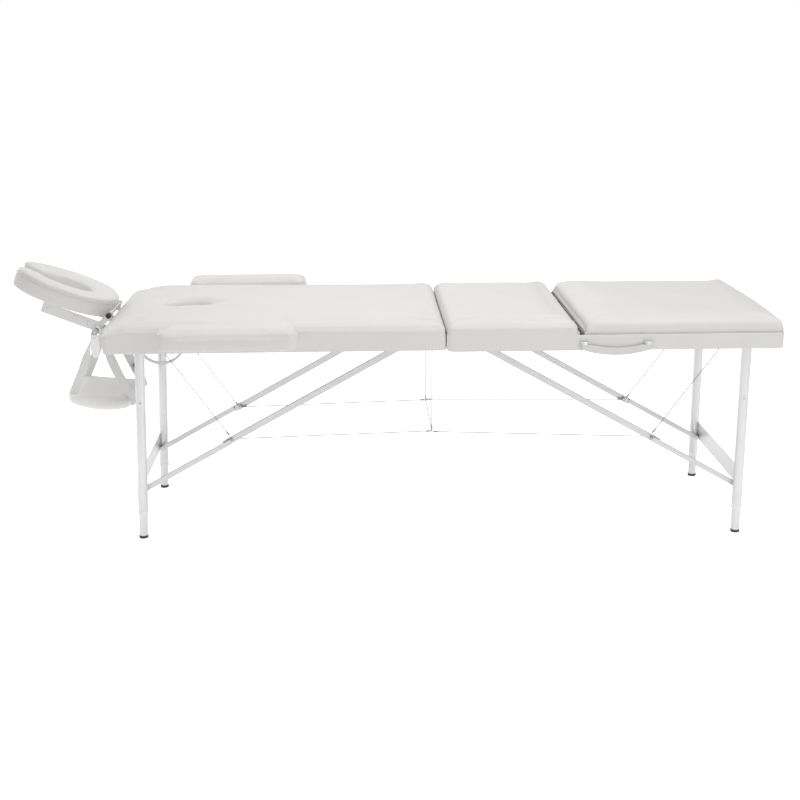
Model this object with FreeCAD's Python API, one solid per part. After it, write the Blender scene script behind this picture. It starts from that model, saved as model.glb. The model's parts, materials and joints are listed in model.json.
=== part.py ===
import FreeCAD, Part
import math
import os

# Portable three-section massage table on folding, height-adjustable legs.
# Millimetres, +Z up, +X to the foot end, -X to the headrest, symmetric about y = 0.
# The origin is on the floor under the middle of the overall length, headrest included.
# Each half is drawn towards +X ("u" is the distance from the folding hinge), the head half is
# mirrored, and at the end everything is moved along X to the origin.

V = FreeCAD.Vector

# Table and frame
HALF_LENGTH = 930.0
HALF_WIDTH = 300.0
FRAME_BOTTOM = 562.5
RAIL_HEIGHT = 40.0
RAIL_WIDTH = 20.0
RAIL_WALL = 2.0
SKIRT = 4.0
DECK = 6.0
PAD_TOP = 642.5
PAD_EDGE_RADIUS = 16.0
CENTRE_GAP = 1.5
RAIL_TOP = FRAME_BOTTOM + RAIL_HEIGHT
DECK_TOP = RAIL_TOP + DECK
RAIL_OUT = HALF_WIDTH - SKIRT
RAIL_IN = RAIL_OUT - RAIL_WIDTH
END_OUT = HALF_LENGTH - SKIRT
END_IN = END_OUT - RAIL_WIDTH

# Folding hinge under the middle of the table
LEAF = 2.0
KNUCKLE_RADIUS = 4.5
KNUCKLE_LENGTH = 20.0
TABLE_PIN_RADIUS = 2.0
TABLE_HINGE_Y = 235.0
NOTCH = 8.0

# Legs and folding struts
LEG_PIVOT_U = 843.0
LEG_PIVOT_Z = 582.0
LEG_RADIUS = 14.0
LEG_BORE = 12.35
LEG_END_Z = 78.0
EXTENSION_RADIUS = 12.3
EXTENSION_BORE = 10.8
FOOT_RADIUS = 13.0
FOOT_HEIGHT = 8.0
BUTTON_Z = 401.0
HOLE_PITCH = 25.0
HOLE_COUNT = 7
BUTTON_RADIUS = 3.0
BOLT_RADIUS = 4.0
PIVOT_CLEARANCE = 0.05
STRUT_TO_LEG = 445.0
STRUT_PIVOT_U = 57.0
UPPER_STRUT_HEIGHT = 17.0
UPPER_STRUT_WIDTH = 12.0
LOWER_STRUT_HEIGHT = 14.0
LOWER_STRUT_WIDTH = 10.0
STRUT_WALL = 1.5
STRUT_TAIL = 12.0
LOWER_STRUT_OFFSET = 21.0
UPPER_STRUT_OFFSET = 37.0
RUN_CABLE_OFFSET = 50.5
DIAGONAL_CABLE_OFFSET = 61.5
CROSS_BAR_Z = (131.0, 184.0)
CROSS_BAR_OFFSET = (8.65, 10.25)

# Stay cables
CABLE_RADIUS = 1.2
CABLE_PIN_RADIUS = 3.0
ANCHOR_U = 811.0
ANCHOR_Z = 568.0
CENTRE_CABLE_U = 30.0
CENTRE_CABLE_Y = 156.0
CENTRE_CABLE_Z = (566.0, 292.0)

# Face hole in the head half
FACE_HOLE_U = 727.0
FACE_HOLE_LENGTH = 152.0
FACE_HOLE_WIDTH = 98.0

# Lifting backrest, its prop and racks
BACKREST_AXIS_U = 371.0
BACKREST_AXIS_Z = 604.0
BACKREST_GAP_TOP = 13.0
BACKREST_GAP_BOTTOM = 6.0
BACKREST_DECK_GAP = 7.0
PROP_LENGTH = 250.0
PROP_Z = 592.0
PROP_RADIUS = 6.0
PROP_Y = 120.0
RACK_Y = 135.0
BACKREST_MAX = 45.0

# Headrest
POST_Y = 62.0
POST_INNER_U = 812.0
POST_Z = 585.0
POST_RADIUS = 8.0
CROSS_TUBE_U = 983.0
CROSS_TUBE_RADIUS = 9.0
CROSS_TUBE_END = 113.0
LEVER_Y = -122.0
LIFT_TILT = 21.5
LIFT_LENGTH = 166.0
LIFT_BAND = (-7.0, 23.0)
LIFT_Y = 80.0
TILT_PIVOT_U = 942.0
TILT_PIVOT_Z = 630.0
TILT_PIN_RADIUS = 3.0
BOARD_TILT = 20.5
BOARD_LEVEL = (-22.0, -18.0)
KNOB_RADIUS = 7.5
KNOB_Y = (-118.0, -100.0)
CUSHION_CENTRE = 154.0
CUSHION_LENGTH = 298.0
CUSHION_WIDTH = 240.0
CUSHION_THICKNESS = 54.0
CUSHION_HOLE_LENGTH = 150.0
CUSHION_HOLE_WIDTH = 98.0
CUSHION_SLOT = 56.0
CUSHION_EDGE_RADIUS = 12.0

# Arm sling
SLING_HALF_LENGTH = 90.0
SLING_HALF_DEPTH = 124.0
SLING_TOP = 395.0
SLING_THICKNESS = 42.0
STRAP = 2.0
STRAP_Y = 98.0
STRAP_WIDTH = 25.0

# Armrests
ARMREST_U = (402.0, 768.0)
ARMREST_Y = (310.0, 420.0)
ARMREST_Z = (600.0, 649.0)
ARMREST_EDGE_RADIUS = 16.0
ARMREST_PLATE = 5.0
ARMREST_ROD_U = (440.0, 720.0)
ARMREST_ROD_Z = 590.0
ARMREST_ROD_RADIUS = 6.0
ARMREST_ROD_END = 240.0

# Carry handle and storage strap
HANDLE_U = (378.0, 553.0)
HANDLE_Z = 570.0
HANDLE_DROP = 13.0
HANDLE_BAND = 20.0
HANDLE_THICKNESS = 5.0
HANDLE_AXIS_Y = -306.0
HANDLE_PLATE = 2.0
RIVET_RADIUS = 2.0
HANDLE_AXIS_Z = 580.0
HANDLE_PIN = 1.5
STORAGE_STRAP_U = (728.0, 862.0)
STORAGE_STRAP_Y = 140.0
STORAGE_STRAP_DROP = 64.0
STORAGE_PIN_RADIUS = 2.0

# The two leg pairs stand at different widths, so that they pass each other when folded.
HALVES = {"head": {"leg_y": 214.0, "splay": 2.0}, "foot": {"leg_y": 245.0, "splay": 0.4}}


def box(x_range, y_range, z_range):
    corner = V(x_range[0], y_range[0], z_range[0])
    size = [b - a for a, b in (x_range, y_range, z_range)]
    return Part.makeBox(size[0], size[1], size[2], corner)


def rod(start, end, radius):
    along = end - start
    return Part.makeCylinder(radius, along.Length, start, along)


def tube(start, end, radius, bore):
    return rod(start, end, radius).cut(rod(start, end, bore))


def across(u, z, y_range, radius):
    """A round bar that lies along Y."""
    return rod(V(u, y_range[0], z), V(u, y_range[1], z), radius)


def slab(points, y_range):
    """A plate cut to an outline of (u, z) points and y_range thick."""
    ring = [V(u, y_range[0], z) for u, z in points]
    face = Part.Face(Part.makePolygon(ring + [ring[0]]))
    return face.extrude(V(0, y_range[1] - y_range[0], 0))


def link(start, end, height, y_range):
    """A flat bar with round ends between two (u, z) points."""
    length = math.hypot(end[0] - start[0], end[1] - start[1])
    angle = math.degrees(math.atan2(end[1] - start[1], end[0] - start[0]))
    bar = box((0, length), y_range, (-height / 2, height / 2))
    bar.rotate(V(0, 0, 0), V(0, -1, 0), angle)
    bar.translate(V(start[0], 0, start[1]))
    ends = [across(p[0], p[1], y_range, height / 2) for p in (start, end)]
    return bar.fuse(ends).removeSplitter()


def mirrored(shape):
    """The same piece on the other side of y = 0."""
    return shape.mirror(V(0, 0, 0), V(0, 1, 0))


def pair(shape):
    return [shape, mirrored(shape)]


def oval(centre_u, length, width, z_range):
    """An elliptical prism about a vertical axis at y = 0."""
    base = V(centre_u, 0, z_range[0])
    if length >= width:
        curve = Part.Ellipse(base, length / 2, width / 2)
    else:
        wide_end = V(centre_u, width / 2, z_range[0])
        narrow_end = V(centre_u + length / 2, 0, z_range[0])
        curve = Part.Ellipse(wide_end, narrow_end, base)
    face = Part.Face(Part.Wire(curve.toShape()))
    return face.extrude(V(0, 0, z_range[1] - z_range[0]))


def save(name, shapes):
    """Keeps one node. Several solids in one node are a group of like pieces."""
    parts = shapes if isinstance(shapes, list) else [shapes]
    solids = [solid for part in parts for solid in part.Solids]
    table[name] = solids[0] if len(solids) == 1 else Part.makeCompound(solids)


def save_half(half, name, shapes):
    """Keeps a node of one half, mirrored about x = 0 if it is the head half."""
    parts = shapes if isinstance(shapes, list) else [shapes]
    if half == "head":
        parts = [part.mirror(V(0, 0, 0), V(1, 0, 0)) for part in parts]
    save(name, parts)


# Frame


def side_rail():
    outer = box((CENTRE_GAP, END_OUT), (RAIL_IN, RAIL_OUT), (FRAME_BOTTOM, RAIL_TOP))
    bore = box(
        (0, HALF_LENGTH),
        (RAIL_IN + RAIL_WALL, RAIL_OUT - RAIL_WALL),
        (FRAME_BOTTOM + RAIL_WALL, RAIL_TOP - RAIL_WALL),
    )
    reach = CENTRE_GAP + NOTCH
    notch = [(0, FRAME_BOTTOM - 1), (reach + 1, FRAME_BOTTOM - 1), (0, FRAME_BOTTOM + reach)]
    return outer.cut(bore).cut(slab(notch, (0, HALF_WIDTH)))


def cross_rail(u_range, notch):
    low = FRAME_BOTTOM
    outline = [
        (u_range[0] + notch, low),
        (u_range[1], low),
        (u_range[1], RAIL_TOP),
        (u_range[0], RAIL_TOP),
        (u_range[0], low + notch),
    ]
    if notch == 0:
        outline = outline[:4]
    ring = [V(u, -RAIL_IN, z) for u, z in outline]
    face = Part.Face(Part.makePolygon(ring + [ring[0]]))
    inner = Part.Face(face.makeOffset2D(-RAIL_WALL).OuterWire)
    run = V(0, 2 * RAIL_IN, 0)
    return face.extrude(run).cut(inner.extrude(run))


def rails(half):
    end = cross_rail((END_IN, END_OUT), 0)
    side = side_rail()
    if half == "head":
        for y in (-POST_Y, POST_Y):
            end = end.cut(rod(V(END_IN - 1, y, POST_Z), V(END_OUT + 1, y, POST_Z), POST_RADIUS + 3))
        for u in ARMREST_ROD_U:
            side = side.cut(across(u, ARMREST_ROD_Z, (RAIL_IN - 1, RAIL_OUT + 1), ARMREST_ROD_RADIUS + 2))
    return pair(side) + [end, cross_rail((CENTRE_GAP, CENTRE_GAP + RAIL_WIDTH), NOTCH)]


def deck(u_range, hole=False):
    sheet = box(u_range, (-RAIL_OUT, RAIL_OUT), (RAIL_TOP, DECK_TOP))
    if hole:
        through = (RAIL_TOP - 1, DECK_TOP + 1)
        sheet = sheet.cut(oval(FACE_HOLE_U, FACE_HOLE_LENGTH + 6, FACE_HOLE_WIDTH + 6, through))
    return sheet


def round_edges(solid, radius, test):
    edges = [e for e in solid.Edges if test(e)]
    return solid.makeFillet(radius, edges)


def on_top(edge):
    return all(abs(v.Z - PAD_TOP) < 0.01 for v in edge.Vertexes)


def upright_outer(edge):
    ends = edge.Vertexes
    outer = all(v.X > HALF_LENGTH - 1 for v in ends)
    return outer and len(ends) == 2 and abs(ends[0].Z - ends[1].Z) > 10


def pad_block(start_bottom, start_top, end_bottom, end_top, bottom):
    """Foam and cover as one closed form, with soft upper edges."""
    outline = [(start_bottom, bottom), (end_bottom, bottom), (end_top, PAD_TOP), (start_top, PAD_TOP)]
    block = slab(outline, (-HALF_WIDTH, HALF_WIDTH))
    block = round_edges(block, 10.0, upright_outer) if end_bottom == HALF_LENGTH else block
    return round_edges(block, PAD_EDGE_RADIUS, lambda e: on_top(e) and e.Length > 5)


def head_pad():
    block = pad_block(CENTRE_GAP, CENTRE_GAP, HALF_LENGTH, HALF_LENGTH, FRAME_BOTTOM)
    frame_room = box((-1, END_OUT), (-RAIL_OUT, RAIL_OUT), (0, DECK_TOP))
    pad = block.cut(frame_room)
    pad = pad.cut(oval(FACE_HOLE_U, FACE_HOLE_LENGTH, FACE_HOLE_WIDTH, (DECK_TOP - 1, PAD_TOP + 1)))
    for y in (-POST_Y, POST_Y):
        pad = pad.cut(rod(V(END_OUT - 5, y, POST_Z), V(HALF_LENGTH + 1, y, POST_Z), POST_RADIUS + 7))
    for u in ARMREST_ROD_U:
        room = across(u, ARMREST_ROD_Z, (RAIL_OUT - 1, HALF_WIDTH + 1), ARMREST_ROD_RADIUS + 5)
        pad = pad.cut(room).cut(mirrored(room))
    return pad


def seat_pad():
    """Seat foam and cover. The cover runs on over the foot rails as far as the foot end."""
    end_bottom = BACKREST_AXIS_U - BACKREST_GAP_BOTTOM
    end_top = BACKREST_AXIS_U - BACKREST_GAP_TOP
    block = pad_block(CENTRE_GAP, CENTRE_GAP, end_bottom, end_top, FRAME_BOTTOM)
    wrap = box((end_bottom - 1, HALF_LENGTH), (-HALF_WIDTH, HALF_WIDTH), (FRAME_BOTTOM, RAIL_TOP))
    cover = block.fuse(wrap.cut(box((0, END_OUT), (-RAIL_OUT, RAIL_OUT), (0, DECK_TOP))))
    cover = cover.cut(box((-1, END_OUT), (-RAIL_OUT, RAIL_OUT), (0, DECK_TOP))).removeSplitter()
    return cover.cut(handle_rivets())


def backrest_pad():
    start_bottom = BACKREST_AXIS_U + BACKREST_GAP_BOTTOM
    start_top = BACKREST_AXIS_U + BACKREST_GAP_TOP
    block = pad_block(start_bottom, start_top, HALF_LENGTH, HALF_LENGTH, RAIL_TOP + 0.5)
    return block.cut(box((BACKREST_AXIS_U, END_OUT), (-RAIL_OUT, RAIL_OUT), (0, DECK_TOP)))


def table_hinges(half):
    """Leaves screwed under the middle rails. The foot side carries the pins."""
    z = FRAME_BOTTOM - LEAF
    reach = 1.5 * KNUCKLE_LENGTH
    middle = (-KNUCKLE_LENGTH / 2 + 0.1, KNUCKLE_LENGTH / 2 - 0.1)
    outer = [(-reach, -KNUCKLE_LENGTH / 2), (KNUCKLE_LENGTH / 2, reach)]
    knuckles = [middle] if half == "head" else outer
    leaf = box((KNUCKLE_RADIUS + 0.5, CENTRE_GAP + RAIL_WIDTH), (-reach, reach), (z, FRAME_BOTTOM))
    for span in knuckles:
        arm = box((0, KNUCKLE_RADIUS + 1), span, (z, FRAME_BOTTOM))
        leaf = leaf.fuse([across(0, z, span, KNUCKLE_RADIUS), arm])
    if half == "head":
        leaf = leaf.cut(across(0, z, (-reach, reach), TABLE_PIN_RADIUS + PIVOT_CLEARANCE))
    else:
        leaf = leaf.fuse(across(0, z, (-reach, reach), TABLE_PIN_RADIUS))
    leaf = leaf.removeSplitter()
    leaf.translate(V(0, TABLE_HINGE_Y, 0))
    return pair(leaf)


# Legs, struts and cables


def linkage(half):
    """Pivot points of one leg and its two struts. The struts lie in one line at rest and fold flat."""
    splay = math.radians(HALVES[half]["splay"])
    leg = (LEG_PIVOT_U, LEG_PIVOT_Z)
    foot = (leg[0] + STRUT_TO_LEG * math.sin(splay), leg[1] - STRUT_TO_LEG * math.cos(splay))
    deck_pivot = (STRUT_PIVOT_U, LEG_PIVOT_Z)
    rise = deck_pivot[1] - foot[1]
    run = foot[0] - deck_pivot[0]
    straight = math.hypot(run, rise)
    folded = LEG_PIVOT_U - STRUT_TO_LEG - STRUT_PIVOT_U
    upper = (straight + folded) / 2
    slope = math.atan2(rise, run)
    knee = (deck_pivot[0] + upper * math.cos(slope), deck_pivot[1] - upper * math.sin(slope))
    return {"leg": leg, "foot": foot, "deck": deck_pivot, "knee": knee, "slope": slope}


def along_leg(half, distance, y=0.0):
    """A point on the leg's axis, measured down from its pivot."""
    splay = math.radians(HALVES[half]["splay"])
    return V(LEG_PIVOT_U + distance * math.sin(splay), y, LEG_PIVOT_Z - distance * math.cos(splay))


def leg_depth(half, z):
    """Distance along the leg's axis from its pivot to a height above the floor."""
    return (LEG_PIVOT_Z - z) / math.cos(math.radians(HALVES[half]["splay"]))


def leg_tube(half):
    y = HALVES[half]["leg_y"]
    low_end = along_leg(half, leg_depth(half, LEG_END_Z), y)
    body = tube(along_leg(half, -8, y), low_end, LEG_RADIUS, LEG_BORE)
    body = body.cut(across(LEG_PIVOT_U, LEG_PIVOT_Z, (0, HALF_WIDTH), BOLT_RADIUS))
    button = along_leg(half, leg_depth(half, BUTTON_Z), y)
    return body.cut(rod(button, button + V(0, 2 * LEG_RADIUS, 0), BUTTON_RADIUS + PIVOT_CLEARANCE))


def extension_tube(half):
    y = HALVES[half]["leg_y"]
    foot = along_leg(half, leg_depth(half, FOOT_HEIGHT), y)
    body = tube(along_leg(half, 12, y), foot, EXTENSION_RADIUS, EXTENSION_BORE)
    for i in range(HOLE_COUNT):
        hole = along_leg(half, leg_depth(half, BUTTON_Z) - i * HOLE_PITCH, y)
        body = body.cut(rod(hole, hole + V(0, 2 * LEG_RADIUS, 0), BUTTON_RADIUS + PIVOT_CLEARANCE))
    return body


def foot_tip(half):
    """Rubber foot: a pad under the tube with a plug inside it, cut level with the floor."""
    y = HALVES[half]["leg_y"]
    top = leg_depth(half, FOOT_HEIGHT)
    pad = rod(along_leg(half, top, y), along_leg(half, top + 2 * FOOT_HEIGHT, y), FOOT_RADIUS)
    plug = rod(along_leg(half, top - 15, y), along_leg(half, top + 1, y), EXTENSION_BORE)
    floor = box((0, 2 * HALF_LENGTH), (-HALF_WIDTH, HALF_WIDTH), (-50, 0))
    return pad.fuse(plug).removeSplitter().cut(floor)


def height_button(half):
    """Spring plunger with a domed head, just clear of the inner tube."""
    y = HALVES[half]["leg_y"]
    axis = along_leg(half, leg_depth(half, BUTTON_Z))
    skin = y + LEG_RADIUS
    stem = rod(axis + V(0, y + LEG_BORE + 0.1, 0), axis + V(0, skin + 2.4, 0), BUTTON_RADIUS)
    head = rod(axis + V(0, skin + 2.3, 0), axis + V(0, skin + 4.6, 0), BUTTON_RADIUS + 1.8)
    head = round_edges(head, 1.5, lambda e: e.BoundBox.YMin > y + LEG_RADIUS + 4.5)
    return stem.fuse(head).removeSplitter()


def cross_bar(half):
    """Flat bar whose ends are shaped to the outer side of the two leg tubes."""
    y = HALVES[half]["leg_y"]
    top, bottom = [leg_depth(half, z) for z in reversed(CROSS_BAR_Z)]
    bar = box(CROSS_BAR_OFFSET, (-y + 4, y - 4), (-bottom, -top))
    bar.rotate(V(0, 0, 0), V(0, -1, 0), HALVES[half]["splay"])
    bar.translate(V(LEG_PIVOT_U, 0, LEG_PIVOT_Z))
    leg = rod(along_leg(half, 0, y), along_leg(half, 600, y), LEG_RADIUS)
    return bar.cut([leg, mirrored(leg)])


def leg_bolts(half):
    """Pivot bolts of the leg pair, and the studs on the legs' inner sides that carry the lower struts."""
    y = HALVES[half]["leg_y"]
    u, z = linkage(half)["foot"]
    bolt = across(LEG_PIVOT_U, LEG_PIVOT_Z, (y - 19, y + 19), BOLT_RADIUS)
    spans = ((y - 21.3, y - 17.8), (y + 17.8, y + 21.3))
    heads = [across(LEG_PIVOT_U, LEG_PIVOT_Z, span, 7) for span in spans]
    bolt = bolt.fuse(heads).removeSplitter()
    strut_in = y - LOWER_STRUT_OFFSET - LOWER_STRUT_WIDTH / 2
    stud = across(u, z, (strut_in - 1, y - 9), BOLT_RADIUS)
    collar = across(u, z, (strut_in + LOWER_STRUT_WIDTH + 0.4, y - 9), 6.5)
    head = across(u, z, (strut_in - 3.2, strut_in - 0.2), 7)
    stud = stud.fuse([collar, head]).cut(rod(along_leg(half, 0, y), along_leg(half, 600, y), LEG_RADIUS))
    return pair(bolt) + pair(stud.removeSplitter())


def lower_strut(half):
    joints = linkage(half)
    y = HALVES[half]["leg_y"] - LOWER_STRUT_OFFSET
    span = (y - LOWER_STRUT_WIDTH / 2, y + LOWER_STRUT_WIDTH / 2)
    bar = link(joints["foot"], joints["knee"], LOWER_STRUT_HEIGHT, span)
    dome = across(joints["knee"][0], joints["knee"][1], (span[1] - 1, span[1] + 1.2), 5)
    eye = across(joints["foot"][0], joints["foot"][1], (0, HALF_WIDTH), BOLT_RADIUS + PIVOT_CLEARANCE)
    return bar.fuse(dome).removeSplitter().cut(eye)


def upper_strut(half):
    """Square tube that runs a little past the knee."""
    joints = linkage(half)
    y = HALVES[half]["leg_y"] - UPPER_STRUT_OFFSET
    half_width = UPPER_STRUT_WIDTH / 2
    knee_u, knee_z = joints["knee"]
    past = (knee_u + STRUT_TAIL * math.cos(joints["slope"]), knee_z - STRUT_TAIL * math.sin(joints["slope"]))
    bar = link(joints["deck"], past, UPPER_STRUT_HEIGHT, (y - half_width, y + half_width))
    length = math.hypot(past[0] - joints["deck"][0], past[1] - joints["deck"][1])
    inner = half_width - STRUT_WALL
    tall = UPPER_STRUT_HEIGHT / 2 - STRUT_WALL
    bore = box((12, length), (y - inner, y + inner), (-tall, tall))
    bore.rotate(V(0, 0, 0), V(0, 1, 0), math.degrees(joints["slope"]))
    bore.translate(V(joints["deck"][0], 0, joints["deck"][1]))
    bar = bar.cut(bore)
    for name in ("deck", "knee"):
        bar = bar.cut(across(joints[name][0], joints[name][1], (0, HALF_WIDTH), BOLT_RADIUS))
    return bar


def strut_bolts(half):
    """Bolts through the upper struts: one at the deck, one at the knee with a stub for the cables."""
    joints = linkage(half)
    y = HALVES[half]["leg_y"] - UPPER_STRUT_OFFSET
    lower_face = HALVES[half]["leg_y"] - LOWER_STRUT_OFFSET - LOWER_STRUT_WIDTH / 2
    cable_y = HALVES[half]["leg_y"] - RUN_CABLE_OFFSET
    side = UPPER_STRUT_WIDTH / 2
    u, z = joints["deck"]
    top = across(u, z, (y - 10, y + 10), BOLT_RADIUS)
    top = top.fuse([across(u, z, (y + 9.1, y + 12.1), 6.5), across(u, z, (y - 12.1, y - 9.1), 6.5)])
    u, z = joints["knee"]
    knee = across(u, z, (y - side - 1, lower_face - 0.4), BOLT_RADIUS)
    spacer = across(u, z, (y + side, lower_face - 0.4), 6)
    head = across(u, z, (y - side - 4, y - side), 7)
    stub = across(u, z, (cable_y - 2.5, y - side - 3), CABLE_PIN_RADIUS)
    knee = knee.fuse([spacer, head, stub])
    return pair(top.removeSplitter()) + pair(knee.removeSplitter())


def clevis(u_range, pin, y, gap, wall):
    """A plate under the deck with two ears and a pivot hole through them."""
    top = RAIL_TOP
    plate = box(u_range, (y - gap / 2 - wall, y + gap / 2 + wall), (top - 3, top))
    shape = plate
    for side in (-1, 1):
        near = y + side * gap / 2
        span = (min(near, near + side * wall), max(near, near + side * wall))
        ear = link(pin, (pin[0], top - 8), 20, span)
        web = box((pin[0] - 10, pin[0] + 10), span, (top - 14, top - 1))
        shape = shape.fuse([ear.common(box((0, 2000), span, (0, top))), web])
    hole = across(pin[0], pin[1], (y - gap, y + gap), BOLT_RADIUS + PIVOT_CLEARANCE)
    return shape.removeSplitter().cut(hole)


def hook(u, z, y, reach):
    """A small plate that hangs from the deck and carries a cable pin."""
    plate = box((u - 7, u + 7), (y - 3, y), (z - 4, RAIL_TOP))
    return plate.fuse(across(u, z, (y - 1, y + reach), CABLE_PIN_RADIUS)).removeSplitter()


def pivot_brackets(half):
    y = HALVES[half]["leg_y"]
    leg = clevis((825, 905), (LEG_PIVOT_U, LEG_PIVOT_Z), y, 2 * LEG_RADIUS + 1.2, 3)
    strut_pin = (STRUT_PIVOT_U, LEG_PIVOT_Z)
    strut = clevis((42, 72), strut_pin, y - UPPER_STRUT_OFFSET, UPPER_STRUT_WIDTH + 0.8, 2.5)
    anchor = hook(ANCHOR_U, ANCHOR_Z, y - DIAGONAL_CABLE_OFFSET - 3, 6)
    shapes = pair(leg) + pair(strut) + pair(anchor)
    if half == "head":
        shapes += pair(hook(CENTRE_CABLE_U, CENTRE_CABLE_Z[0], CENTRE_CABLE_Y - 3, 6)) + storage_pins()
    return shapes


def cable(start, end, eye_radius=CABLE_PIN_RADIUS + 0.1):
    """A wire with a crimped eye at its start and a crimped sleeve at its end."""
    along = (end - start).normalize()
    ring = across(start.x, start.z, (start.y - 1.5, start.y + 1.5), eye_radius + 2)
    wire = rod(start, end, CABLE_RADIUS)
    sleeves = [rod(start + along * 4, start + along * 18, 2.4), rod(end - along * 14, end, 2.4)]
    body = wire.fuse([ring] + sleeves).removeSplitter()
    return body.cut(across(start.x, start.z, (start.y - 5, start.y + 5), eye_radius))


def diagonal_cable(half):
    y = HALVES[half]["leg_y"] - DIAGONAL_CABLE_OFFSET
    knee = linkage(half)["knee"]
    start = V(ANCHOR_U, y, ANCHOR_Z)
    end = V(knee[0], y, knee[1])
    return cable(start, end - (end - start).normalize() * 9)


def run_cable(half):
    """From the knee to the centre cable, which hangs on the head side of the middle."""
    y = HALVES[half]["leg_y"] - RUN_CABLE_OFFSET
    knee = linkage(half)["knee"]
    start = V(knee[0], y, knee[1])
    middle_u = CENTRE_CABLE_U + 3 if half == "head" else -CENTRE_CABLE_U + 3
    middle_y = CENTRE_CABLE_Y + (7 if half == "head" else 13)
    return cable(start, V(middle_u, middle_y, CENTRE_CABLE_Z[1]))


def centre_cable():
    """Two drops from the deck, joined across the table by a third length."""
    top, low = CENTRE_CABLE_Z
    y = CENTRE_CABLE_Y
    drop = cable(V(CENTRE_CABLE_U, y, top), V(CENTRE_CABLE_U, y, low))
    link_wire = across(CENTRE_CABLE_U, low, (-y, y), CABLE_RADIUS)
    corners = [Part.makeSphere(2.6, V(CENTRE_CABLE_U, side * y, low)) for side in (-1, 1)]
    return drop.fuse([mirrored(drop), link_wire] + corners).removeSplitter()


# Backrest


def backrest_leaves(moving):
    """Butt hinges in the gap between the seat and backrest decks."""
    side = 1 if moving else -1
    reach = 30.0
    radius = 3.5
    middle = (-9.9, 9.9)
    outer = [(-reach, -10), (10, reach)]
    knuckles = [middle] if moving else outer
    inner = BACKREST_AXIS_U + side * (radius + 0.5)
    far = BACKREST_AXIS_U + side * 31
    leaf = box((min(inner, far), max(inner, far)), (-reach, reach), (RAIL_TOP - 2, RAIL_TOP))
    for span in knuckles:
        arm = box(
            (min(BACKREST_AXIS_U, inner), max(BACKREST_AXIS_U, inner)), span, (RAIL_TOP - 2, RAIL_TOP)
        )
        leaf = leaf.fuse([across(BACKREST_AXIS_U, BACKREST_AXIS_Z, span, radius), arm])
    pin = 1.8
    if moving:
        leaf = leaf.cut(across(BACKREST_AXIS_U, BACKREST_AXIS_Z, (-reach, reach), pin + PIVOT_CLEARANCE))
    else:
        leaf = leaf.fuse(across(BACKREST_AXIS_U, BACKREST_AXIS_Z, (-reach, reach), pin))
    leaf = leaf.removeSplitter()
    leaf.translate(V(0, 170, 0))
    return pair(leaf)


def prop_pivot():
    return (BACKREST_AXIS_U + PROP_LENGTH, PROP_Z)


def prop_brackets():
    """Ears under the backrest deck for the prop's pivots."""
    u, z = prop_pivot()
    plate = box((u - 10, u + 10), (PROP_Y - 9.5, PROP_Y + 9.5), (RAIL_TOP - 2, RAIL_TOP))
    shape = plate
    for span in ((PROP_Y - 9.5, PROP_Y - 6.5), (PROP_Y + 6.5, PROP_Y + 9.5)):
        shape = shape.fuse([box((u - 8, u + 8), span, (z, RAIL_TOP - 1)), across(u, z, span, 8)])
    hole = across(u, z, (PROP_Y - 12, PROP_Y + 12), BOLT_RADIUS + PIVOT_CLEARANCE)
    return pair(shape.removeSplitter().cut(hole))


def backrest_prop():
    """U-shaped prop: two arms with pivot pins, and a cross tube that sits in the racks."""
    u, z = prop_pivot()
    end = u + PROP_LENGTH
    arm = rod(V(u, PROP_Y, z), V(end, PROP_Y, z), PROP_RADIUS)
    eye = across(u, z, (PROP_Y - 6, PROP_Y + 6), 7)
    pin = across(u, z, (PROP_Y - 10, PROP_Y + 10), BOLT_RADIUS)
    side = arm.fuse([eye, pin])
    cross = across(end, z, (-RACK_Y - 8, RACK_Y + 8), PROP_RADIUS)
    return cross.fuse([side, mirrored(side)]).removeSplitter()


def backrest_racks():
    """A strap across the rails and two notched plates under the prop's path."""
    u, z = prop_pivot()
    end = u + PROP_LENGTH
    lift = math.radians(BACKREST_MAX)
    drop = BACKREST_AXIS_Z - PROP_Z
    near = BACKREST_AXIS_U + 2 * PROP_LENGTH * math.cos(lift) + drop * math.sin(lift)
    near_z = BACKREST_AXIS_Z - drop * math.cos(lift)
    gap = PROP_RADIUS + 0.6
    low = FRAME_BOTTOM + 10
    outline = [(580, low), (END_IN, low), (END_IN, z - gap), (end, z - gap), (near, near_z - gap)]
    outline += [(near - 11, near_z - gap), (near - 11, RAIL_TOP - 4), (580, RAIL_TOP - 4)]
    rack = slab(outline, (RACK_Y - 1.5, RACK_Y + 1.5))
    for i in range(6):
        share = i / 5.0
        centre = (near + share * (end - near), near_z + share * (z - near_z) - gap + 2)
        rack = rack.cut(across(centre[0], centre[1], (RACK_Y - 5, RACK_Y + 5), PROP_RADIUS))
    strap = box((580, 606), (-RAIL_IN, RAIL_IN), (RAIL_TOP - 4, RAIL_TOP))
    return [strap] + pair(rack)


# Headrest, drawn on the +X side and mirrored to the head end


def tilted(shape, angle, u, z):
    """Lays a shape drawn from the origin along +X on a slope that rises outward."""
    shape.rotate(V(0, 0, 0), V(0, -1, 0), angle)
    shape.translate(V(u, 0, z))
    return shape


def headrest_posts():
    sides = (-POST_Y, POST_Y)
    posts = [rod(V(POST_INNER_U, y, POST_Z), V(CROSS_TUBE_U, y, POST_Z), POST_RADIUS) for y in sides]
    cross = across(CROSS_TUBE_U, POST_Z, (-CROSS_TUBE_END, CROSS_TUBE_END), CROSS_TUBE_RADIUS)
    lever_stud = across(CROSS_TUBE_U, POST_Z, (LEVER_Y + 7.2, 1 - CROSS_TUBE_END), 4)
    return cross.fuse(posts + [lever_stud]).removeSplitter()


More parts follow.
